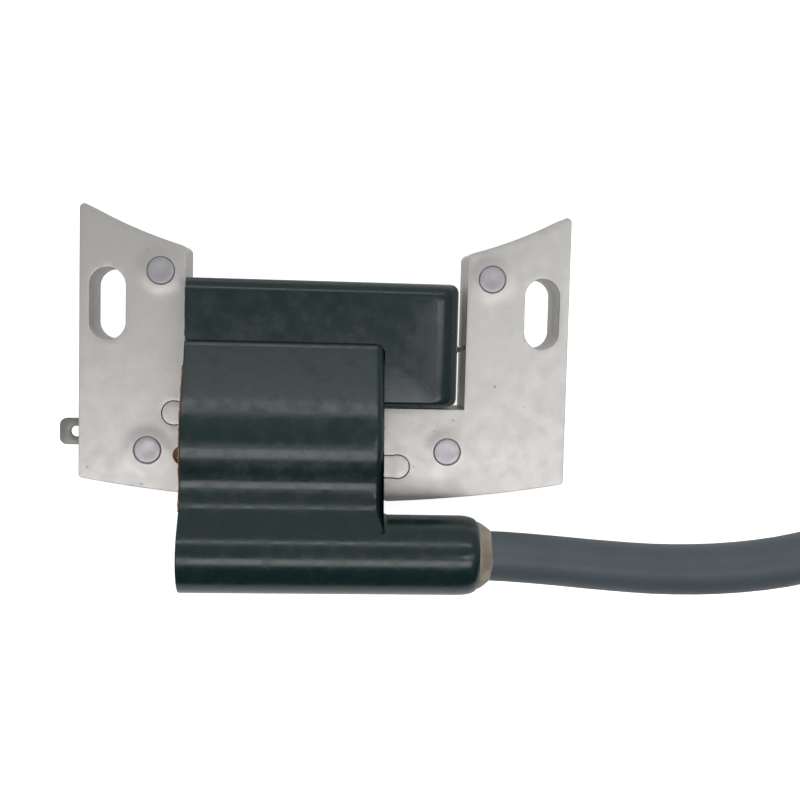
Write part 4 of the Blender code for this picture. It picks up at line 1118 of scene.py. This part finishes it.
def front_line():
    """The coil housing's front in section, (y, z), from its upper edge to the tower.

    Each row is a place along Y and how far the front leans towards +Y there, in degrees.
    """
    leans = (
        (-5.6, 24.0),
        (-12.3, 24.2),
        (-14.4, 21.4),
        (-16.5, 15.0),
        (-18.3, 8.5),
        (-19.6, 1.0),
        (-20.6, -5.0),
        (-22.0, -11.0),
        (-23.3, -14.0),
        (-24.3, -11.0),
        (-25.1, -4.5),
        (-26.0, 3.0),
        (-26.7, 9.0),
        (-27.3, 17.0),
        (-28.2, 24.0),
        (-28.7, 32.0),
        (-29.2, 37.0),
    )
    z = HOUSING[1].z - 8.55 * MM
    step = 0.1
    y = leans[0][0]
    line = [(y * MM, z)]
    while y - step > leans[-1][0]:
        middle = y - step / 2
        for (y0, lean0), (y1, lean1) in zip(leans, leans[1:]):
            if y0 >= middle >= y1:
                share = (y0 - middle) / (y0 - y1)
                lean = lean0 + (lean1 - lean0) * smoothstep(share)
                break
        z += step * MM * math.tan(math.radians(lean))
        y -= step
        line.append((y * MM, z))
    return line


def tangent_point(start, centre, radius):
    """Where a line from start touches a circle, on its front side."""
    reach = centre - start
    lean = math.asin(radius / reach.length)
    turn = math.atan2(reach.y, reach.x) - lean
    length = math.sqrt(reach.length**2 - radius**2)
    return start + Vector((math.cos(turn), math.sin(turn))) * length


def housing_section():
    """The coil housing in section: (y, z) points, and for each its place on the tower's circle.

    It starts where the lower wall meets the tower, goes round the tower's outer side to its top,
    and then over the front, down the upper wall, along the rear and back up the lower wall.
    """
    axis = tower_axis()
    centre = Vector((axis.y, axis.z))
    radius = settings("coil_housings").tower_radius
    bottom_y = centre.x + TOWER_BELOW
    line = front_line()
    touch = tangent_point(Vector(line[-1]), centre, radius)
    drop = math.sqrt(radius**2 - (bottom_y - centre.x) ** 2)
    start = math.degrees(math.atan2(-drop, bottom_y - centre.x))
    end = math.degrees(math.atan2(touch.y - centre.y, touch.x - centre.x))
    round_side = arc(centre, radius, start, end - 360, 72)
    web = [Vector(line[-1]).lerp(touch, i / 14) for i in range(13, 0, -1)]
    front = line[::-1]
    top_y, rear_z = HOUSING[1].y, HOUSING[0].z
    edge_z = line[0][1]
    corner = arc((top_y - 0.5 * MM, edge_z - 0.55 * MM), 0.5 * MM, 66, 0, 8)
    high_z = edge_z - 1 * MM
    upper = [(top_y, high_z - (high_z - rear_z - 1.5 * MM) * i / 12) for i in range(13)]
    rear_corner = arc((top_y - 1.5 * MM, rear_z + 1.5 * MM), 1.5 * MM, 0, -90, 10)
    span = top_y - bottom_y - 3 * MM
    rear = [(top_y - 1.5 * MM - span * i / 14, rear_z) for i in range(1, 14)]
    low_corner = arc((bottom_y + 1.5 * MM, rear_z + 1.5 * MM), 1.5 * MM, -90, -180, 10)
    low_top = round_side[0][1]
    height = low_top - rear_z - 1.5 * MM
    lower = [(bottom_y, rear_z + 1.5 * MM + height * i / 14) for i in range(1, 14)]
    body = [tuple(p) for p in web] + front + corner + upper
    body += rear_corner + rear + low_corner + lower
    whole = round_side + body
    on_tower = list(round_side)
    walked, total = [0.0], 0.0
    chain = [round_side[-1], *body, round_side[0]]
    for a, b in zip(chain, chain[1:]):
        total += math.dist(a, b)
        walked.append(total)
    for distance in walked[1:-1]:
        angle = math.radians(end + (start - end) * distance / total)
        on_tower.append((centre.x + radius * math.cos(angle), centre.y + radius * math.sin(angle)))
    return whole, on_tower


class COIL_OT_coil_housing(bpy.types.Operator):
    """Makes the coil's housing with its wavy front and high-tension tower"""

    bl_idname = "coil.coil_housing"
    bl_label = "Coil housing"

    LEFT_ROUND = 0.18 * MM

    def execute(self, context):
        sizes = settings("coil_housings")
        section, on_tower = housing_section()
        if area_of(section) < 0:
            section, on_tower = section[::-1], on_tower[::-1]
        aims = outward(section)
        axis = tower_axis()
        left_x, tower_x = HOUSING[0].x, HOUSING[1].x
        end_x = BODY_RIGHT_X
        centre = Vector((axis.y, axis.z))
        away = [(Vector(t) - centre).normalized() for t in on_tower]
        fade = [smoothstep(math.dist(p, t) / (4.5 * MM)) for p, t in zip(section, on_tower)]
        bm = bmesh.new()

        def station(x, places):
            return ring(bm, [(x, p[0], p[1]) for p in places])

        rings = []
        for k in range(4):
            angle = math.radians(30 * k)
            inset = self.LEFT_ROUND * (1 - math.sin(angle))
            x = left_x + self.LEFT_ROUND * (1 - math.cos(angle))
            rings.append(station(x, [Vector(p) - n * inset for p, n in zip(section, aims)]))
        for i in range(1, 20):
            x = left_x + (end_x - sizes.end_round - left_x) * i / 20
            rings.append(station(x, section))
        for k in range(10):
            angle = math.radians(10 * k)
            row = []
            for p, n, f in zip(section, aims, fade):
                r = sizes.end_round * f
                q = Vector(p) - n * (r * (1 - math.cos(angle)))
                row.append((end_x - r * (1 - math.sin(angle)), q.x, q.y))
            rings.append(ring(bm, row))
        inner = [Vector(p) - n * (sizes.end_round * f) for p, n, f in zip(section, aims, fade)]
        for k in range(8):
            angle = math.radians(90 * k / 7)
            row = []
            for t, out, f, q in zip(on_tower, away, fade, inner):
                r = sizes.tower_fillet * f
                spot = Vector(t) + out * (r * (1 - math.sin(angle)))
                row.append((end_x + r * (1 - math.cos(angle)) + 0.01 * MM, spot.x, spot.y))
            rings.append(ring(bm, row))
        for i in range(1, 8):
            first = end_x + sizes.tower_fillet + 0.02 * MM
            x = first + (tower_x - sizes.tower_round - first) * i / 7
            rings.append(station(x, on_tower))
        for k in range(1, 10):
            angle = math.radians(10 * k)
            scale = 1 - sizes.tower_lip * (1 - math.cos(angle)) / sizes.tower_radius
            x = tower_x - sizes.tower_round * (1 - math.sin(angle))
            rings.append(station(x, [centre + (Vector(t) - centre) * scale for t in on_tower]))
        bore = sizes.bore_radius / sizes.tower_radius
        mouth = [centre + (Vector(t) - centre) * bore for t in on_tower]
        rings.append(station(tower_x, mouth))
        rings.append(station(tower_x - sizes.bore_depth, mouth))
        skin(bm, rings)
        bm.faces.new(rings[-1])

        wall = sizes.wall
        cavity = rounded(
            [
                (HOUSING[1].y - wall, HOUSING[0].z + wall, 0.4 * MM),
                (HOUSING[1].y - wall, HOUSING[1].z - 9.8 * MM, 0.4 * MM),
                (-18.0 * MM, HOUSING[1].z - 5.6 * MM, 1.0 * MM),
                (-25.6 * MM, HOUSING[1].z - 6.4 * MM, 1.0 * MM),
                (centre.x + TOWER_BELOW + wall, HOUSING[1].z - 6.4 * MM, 0.4 * MM),
                (centre.x + TOWER_BELOW + wall, HOUSING[0].z + wall, 0.4 * MM),
            ],
            4,
        )
        cavity = turned_to(cavity, 1)
        rim = station(left_x, cavity)
        floor = station(end_x - wall, cavity)
        cap(bm, [rings[0], rim], seen_from_end)
        skin(bm, [rim, floor])
        bm.faces.new(floor)
        bmesh.ops.remove_doubles(bm, verts=bm.verts, dist=0.012 * MM)
        piece = object_from("coil_shell", bm, finish_of("plastic"), 40)
        settle(piece, "housing_plastic", "coil_housing")
        return {"FINISHED"}


class COIL_OT_module_housing(bpy.types.Operator):
    """Makes the module's L-shaped housing and its locating rib"""

    bl_idname = "coil.module_housing"
    bl_label = "Module housing"

    CORNER = 1.3 * MM
    STEP_ROUND = 1.4 * MM
    EDGE_DEPTH = 3.1 * MM  # of its rounded front edge, at the most
    RIB_SIZE = (3.2 * MM, 0.6 * MM, 4.0 * MM)
    RIB_TURN = math.radians(24)

    def execute(self, context):
        sizes = settings("coil_housings")
        left, top, front = MODULE[0].x, MODULE[1].y, MODULE[1].z
        right = LEG_INNER_X - sizes.module_gap
        foot = MODULE[0].y
        step_x = BODY_RIGHT_X + 0.06 * MM
        step_y = HOUSING[1].y + 0.04 * MM

        def outline(side, upper, lower, corner):
            return rounded(
                [
                    (left, step_y, 0),
                    (step_x, step_y, self.STEP_ROUND),
                    (step_x, foot + lower, 0),
                    (right - side, foot + lower, corner),
                    (right - side, top - upper, corner),
                    (left, top - upper, 0),
                ],
                10,
            )

        outer = outline(0, 0, 0, self.CORNER)
        flat = outline(
            sizes.module_side_round,
            sizes.module_top_round,
            sizes.module_foot_round,
            self.CORNER * 0.9,
        )
        bm = bmesh.new()
        rings = []
        for share in (0.0, 0.25, 0.5, 0.75):
            z = share * (front - self.EDGE_DEPTH)
            rings.append(ring(bm, [(x, y, z) for x, y in outer]))
        for k in range(13):
            angle = math.radians(7.5 * k)
            row = []
            for (x0, y0), (x1, y1) in zip(outer, flat):
                width = math.dist((x0, y0), (x1, y1))
                depth = 0.38 * width + 0.5 * abs(x1 - x0)
                z = front - depth * (1 - math.sin(angle))
                inward = 1 - math.cos(angle)
                row.append((x0 + (x1 - x0) * inward, y0 + (y1 - y0) * inward, z))
            rings.append(ring(bm, row))
        skin(bm, rings)
        cap(bm, [rings[-1]], seen_from_front)
        wall = sizes.module_wall
        hollow = rounded(
            [
                (left + wall, step_y + wall, 0),
                (step_x + wall, step_y + wall, 0),
                (step_x + wall, foot + wall, 0),
                (right - wall, foot + wall, 0.3 * MM),
                (right - wall, top - wall, 0.3 * MM),
                (left + wall, top - wall, 0),
            ],
            3,
        )
        rim = ring(bm, [(x, y, 0) for x, y in hollow])
        roof = ring(bm, [(x, y, front - wall - self.EDGE_DEPTH) for x, y in hollow])
        cap(bm, [rings[0], rim], seen_from_front)
        skin(bm, [rim, roof])
        cap(bm, [roof], seen_from_front)
        piece = object_from("module_shell", bm, finish_of("plastic"), 40)
        settle(piece, "housing_plastic", "module_housing")

        bm = bmesh.new()
        bmesh.ops.create_cube(bm, size=1)
        bmesh.ops.scale(bm, vec=self.RIB_SIZE, verts=bm.verts)
        bmesh.ops.bevel(
            bm, geom=bm.edges[:], offset=0.15 * MM, segments=3, affect="EDGES", profile=0.5
        )
        rib = object_from("module_locating_rib", bm, finish_of("plastic"))
        rib.rotation_euler.z = self.RIB_TURN
        rib.location = (LEG_INNER_X - 1.6 * MM, -6.0 * MM, CORE_FRONT_Z - 2.2 * MM)
        settle(rib, "housing_plastic")
        return {"FINISHED"}


class COIL_OT_sealant(bpy.types.Operator):
    """Makes the ragged ring of sealant between the tower and the lead"""

    bl_idname = "coil.sealant"
    bl_label = "Sealant"

    # place along X from the tower's end and radius, in millimetres, at the CAD piece's length
    PROFILE = ((-0.6, 3.72), (-0.5, 4.3), (0.0, 4.84), (0.3, 4.86), (0.9, 4.66))
    PROFILE += ((1.5, 4.4), (2.1, 4.1), (2.55, 3.88), (2.85, 3.72), (2.95, 3.62))
    FULL_LENGTH = 2.95

    def execute(self, context):
        axis = tower_axis()
        start_x = HOUSING[1].x
        lead = settings("coil_lead").radius
        length = settings("coil_lead").sealant_length
        uneven = random.Random(7)
        waves = [(uneven.uniform(0, 2 * math.pi), uneven.uniform(0.4, 1.0)) for _ in range(9)]

        def ragged(angle, octave):
            return sum(
                size * math.sin((k + 1) * (1 + octave) * angle + turn) / (k + 1.5)
                for k, (turn, size) in enumerate(waves)
            )

        bm = bmesh.new()
        sides = 96
        rings = []
        for along_x, radius in self.PROFILE:
            row = []
            for i in range(sides):
                angle = 2 * math.pi * i / sides
                reach = along_x / self.FULL_LENGTH
                push = 0.16 * ragged(angle, 0) * max(0.0, reach)
                swell = 0.10 * ragged(angle, 1) * math.sin(math.pi * max(0.0, reach))
                x = start_x + (along_x + push * 2.2) * MM * length / (self.FULL_LENGTH * MM)
                r = max(lead + 0.02 * MM, (radius + swell) * MM)
                row.append((x, axis.y + r * math.cos(angle), axis.z + r * math.sin(angle)))
            rings.append(ring(bm, row))
        skin(bm, rings)
        bridge(bm, rings[-1], rings[0])
        piece = object_from("sealant_ring", bm, finish_of("sealant"), 60)
        settle(piece, "sealant", "lead_sealant")
        return {"FINISHED"}


def blob(name, place, radii, finish_used, seed, roughen=0.12):
    """A drop of resin: a flattened, slightly lumpy ball."""
    bm = bmesh.new()
    bmesh.ops.create_uvsphere(bm, u_segments=40, v_segments=24, radius=1)
    lumps = random.Random(seed)
    bumps = [
        (Vector([lumps.uniform(-1, 1) for _ in range(3)]).normalized(), lumps.uniform(0.5, 1))
        for _ in range(6)
    ]
    for v in bm.verts:
        way = v.co.normalized()
        swell = sum(size * max(0.0, way.dot(aim)) ** 4 for aim, size in bumps)
        v.co = way * (1 - roughen + roughen * swell)
    bmesh.ops.scale(bm, vec=radii, verts=bm.verts)
    bmesh.ops.translate(bm, vec=place, verts=bm.verts)
    return object_from(name, bm, finish_used, 80)


class COIL_OT_resin(bpy.types.Operator):
    """Adds the resin that shows: a drop on the left leg, a spot and thin lines at the edges"""

    bl_idname = "coil.resin"
    bl_label = "Resin"

    def edge_line(self, name, points, radius, seed):
        """A thin, uneven bead of resin through points."""
        uneven = random.Random(seed)
        widths = [uneven.uniform(0.45, 1.25) for _ in points]
        bead = line_object(name, points, radius, 3, finish_of("resin"), widths)
        settle(bead, "potting_resin")

    def execute(self, context):
        amber = finish_of("resin")
        drop = blob(
            "resin_drop",
            (-21.75 * MM, -22.5 * MM, CORE_FRONT_Z + 0.1 * MM),
            (1.15 * MM, 1.45 * MM, 0.75 * MM),
            amber,
            3,
        )
        settle(drop, "potting_resin")
        spot = blob(
            "resin_spot",
            (BODY_RIGHT_X + 0.35 * MM, -13.2 * MM, MODULE[1].z - 0.75 * MM),
            (0.5 * MM, 0.75 * MM, 0.45 * MM),
            amber,
            5,
        )
        settle(spot, "potting_resin")
        line = [p for p in front_line() if p[0] < -8.5 * MM]
        left = HOUSING[0].x - 0.02 * MM
        step = 4
        points = [(left, y, z - 0.12 * MM) for y, z in line[::step]]
        self.edge_line("resin_edge", points, 0.14 * MM, 11)
        module_left = MODULE[0].x - 0.02 * MM
        points = []
        for i in range(21):
            y = -4.4 + 8.0 * i / 20
            drop = 0.2 + 1.2 * max(0.0, (y - 2.4) / 1.2) ** 2
            points.append((module_left, y * MM, MODULE[1].z - drop * MM))
        self.edge_line("module_resin_edge", points, 0.1 * MM, 12)
        for node in ("coil_potting", "module_potting"):
            dress(node, amber)
        return {"FINISHED"}


class COIL_OT_terminals(bpy.types.Operator):
    """Makes the kill terminal, and gives the strap and the insulator their finishes"""

    bl_idname = "coil.terminals"
    bl_label = "Terminals"

    CORNER_ROUND = 1.1 * MM
    HOLE_RADIUS = 0.87 * MM
    HOLE_IN = 2.6 * MM  # of the hole's middle from the outer end

    def execute(self, context):
        low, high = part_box("kill_terminal")
        middle = (low.y + high.y) / 2
        corners = [(high.x, low.y, 0), (high.x, high.y, 0)]
        corners += [(low.x, y, self.CORNER_ROUND) for y in (high.y, low.y)]
        outline = rounded(corners, 12)
        hole = circle((low.x + self.HOLE_IN, middle), self.HOLE_RADIUS)
        loops = [turned_to(outline, 1), turned_to(hole, -1)]
        edge = 0.12 * MM
        bm = bmesh.new()
        tops, bottoms = [], []
        for loop in loops:
            aims = outward(loop)
            rings = []
            for k in range(5):
                angle = math.radians(22.5 * k)
                inset, rise = edge * (1 - math.sin(angle)), edge * (1 - math.cos(angle))
                rings.append((inset, low.z + rise))
            for k in range(5):
                angle = math.radians(22.5 * k)
                rings.append((edge * (1 - math.cos(angle)), high.z - edge * (1 - math.sin(angle))))
            made = [
                ring(bm, [(p[0] - n.x * inset, p[1] - n.y * inset, z) for p, n in zip(loop, aims)])
                for inset, z in rings
            ]
            skin(bm, made)
            bottoms.append(made[0])
            tops.append(made[-1])
        cap(bm, tops, seen_from_front)
        cap(bm, bottoms, seen_from_front)
        # Dark olive grey for tinned metal: painted shade that stands for the shadow of the leg
        # beside the terminal; the second colour is darker still
        metal = finish(
            "kill_terminal",
            (0.27, 0.265, 0.235),
            (0.20, 0.20, 0.185),
            scale=350,
            roughness=(0.38, 0.5),
            metallic=0.8,
            bump=0.3,
            fine=2200,
            waves=500,
        )
        settle(object_from("kill_tab", bm, metal, 40), "terminal_steel", "kill_terminal")
        brass = finish("strap_brass", (0.62, 0.45, 0.18), metallic=1.0, roughness=(0.25, 0.4))
        dress("ground_strap", brass)
        fibre = finish("fibre", (0.2, 0.1, 0.05), roughness=(0.6, 0.75), fine=1500)
        dress("terminal_insulator", fibre)
        return {"FINISHED"}


def wound_wire(name, base, pitch):
    """Enamelled wire laid side by side: fine round ridges that run round the bobbin."""
    made = finish(name, base, roughness=(0.22, 0.35), metallic=0.9, scale=300)
    tree = made.node_tree
    place = add(tree, "ShaderNodeTexCoord")
    parts = add(tree, "ShaderNodeSeparateXYZ")
    turns = add(tree, "ShaderNodeMath", operation="MULTIPLY")
    turns.inputs[1].default_value = 2 * math.pi / pitch
    ridge = add(tree, "ShaderNodeMath", operation="SINE")
    raised = add(tree, "ShaderNodeBump", Strength=0.6, Distance=pitch / 3)
    joined(tree, place.outputs["Object"], parts.inputs[0])
    joined(tree, parts.outputs["X"], turns.inputs[0])
    joined(tree, turns.outputs[0], ridge.inputs[0])
    joined(tree, ridge.outputs[0], raised.inputs["Height"])
    joined(tree, raised.outputs["Normal"], tree.nodes["Principled BSDF"].inputs["Normal"])
    return made


class COIL_OT_inner_parts(bpy.types.Operator):
    """Gives the pieces inside the housings their finishes"""

    bl_idname = "coil.inner_parts"
    bl_label = "Inner parts"

    def execute(self, context):
        copper = (0.62, 0.25, 0.1)
        bobbin = finish("bobbin_plastic", (0.75, 0.72, 0.62), roughness=(0.4, 0.55))
        thick = wound_wire("primary_wire", copper, 0.5 * MM)
        thin = wound_wire("secondary_wire", copper, 0.12 * MM)
        wire = finish("enamelled_wire", copper, metallic=0.9, roughness=(0.22, 0.35))
        tin = finish("tinned_metal", (0.7, 0.7, 0.7), metallic=1.0, roughness=(0.25, 0.4))
        black = finish("component_black", (0.025, 0.025, 0.025), roughness=(0.35, 0.5))
        blue = finish("resistor_lacquer", (0.25, 0.45, 0.6), roughness=(0.3, 0.45))
        pads = (420, 0.12, (0.6, 0.6, 0.55))
        board = finish("circuit_board", (0.05, 0.2, 0.1), roughness=(0.35, 0.5), spots=pads)
        used = {
            "primary_bobbin": bobbin,
            "secondary_bobbin": bobbin,
            "primary_winding": thick,
            "primary_wire_1": wire,
            "primary_wire_2": wire,
            "high_tension_link": wire,
            "contact_spike": finish("spike_brass", (0.72, 0.52, 0.2), metallic=1.0),
            "circuit_board": board,
            "power_transistor": black,
            "diode": black,
            "transistor_tab": tin,
            "capacitor": tin,
            "resistor_a": blue,
            "resistor_b": blue,
        }
        used.update({name: thin for name in frame["nodes"] if name.startswith("secondary_winding")})
        for node, material in used.items():
            dress(node, material)
        return {"FINISHED"}


class COIL_PT_pieces(bpy.types.Panel):
    """Lists the coil's pieces and settings"""

    bl_idname = "COIL_PT_pieces"
    bl_label = "Ignition coil"
    bl_space_type = "VIEW_3D"
    bl_region_type = "UI"
    bl_category = "Ignition coil"

    def draw(self, context):
        for operator in OPERATORS:
            self.layout.operator(operator.bl_idname)
        for group, kind in SETTINGS.items():
            column = self.layout.column(align=True)
            for name in kind.__annotations__:
                column.prop(settings(group), name)


OPERATORS = (
    COIL_OT_stage,
    COIL_OT_lead,
    COIL_OT_core,
    COIL_OT_rivets,
    COIL_OT_coil_housing,
    COIL_OT_module_housing,
    COIL_OT_sealant,
    COIL_OT_resin,
    COIL_OT_terminals,
    COIL_OT_inner_parts,
)


def register():
    for kind in (*SETTINGS.values(), *OPERATORS, COIL_PT_pieces):
        bpy.utils.register_class(kind)
    for name, kind in SETTINGS.items():
        setattr(bpy.types.Scene, name, PointerProperty(type=kind))


def unregister():
    for name in SETTINGS:
        delattr(bpy.types.Scene, name)
    for kind in reversed((*SETTINGS.values(), *OPERATORS, COIL_PT_pieces)):
        bpy.utils.unregister_class(kind)


def clear_start_scene():
    """Removes what Blender starts with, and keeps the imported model."""
    kept = {obj.name for group in ("nodes", "bodies") for obj in frame[group].values()}
    for obj in list(bpy.data.objects):
        if obj.name not in kept:
            bpy.data.objects.remove(obj, do_unlink=True)


def main():
    clear_start_scene()
    register()
    for operator in OPERATORS:
        group, name = operator.bl_idname.split(".")
        getattr(getattr(bpy.ops, group), name)()


if __name__ == "__main__":
    main()
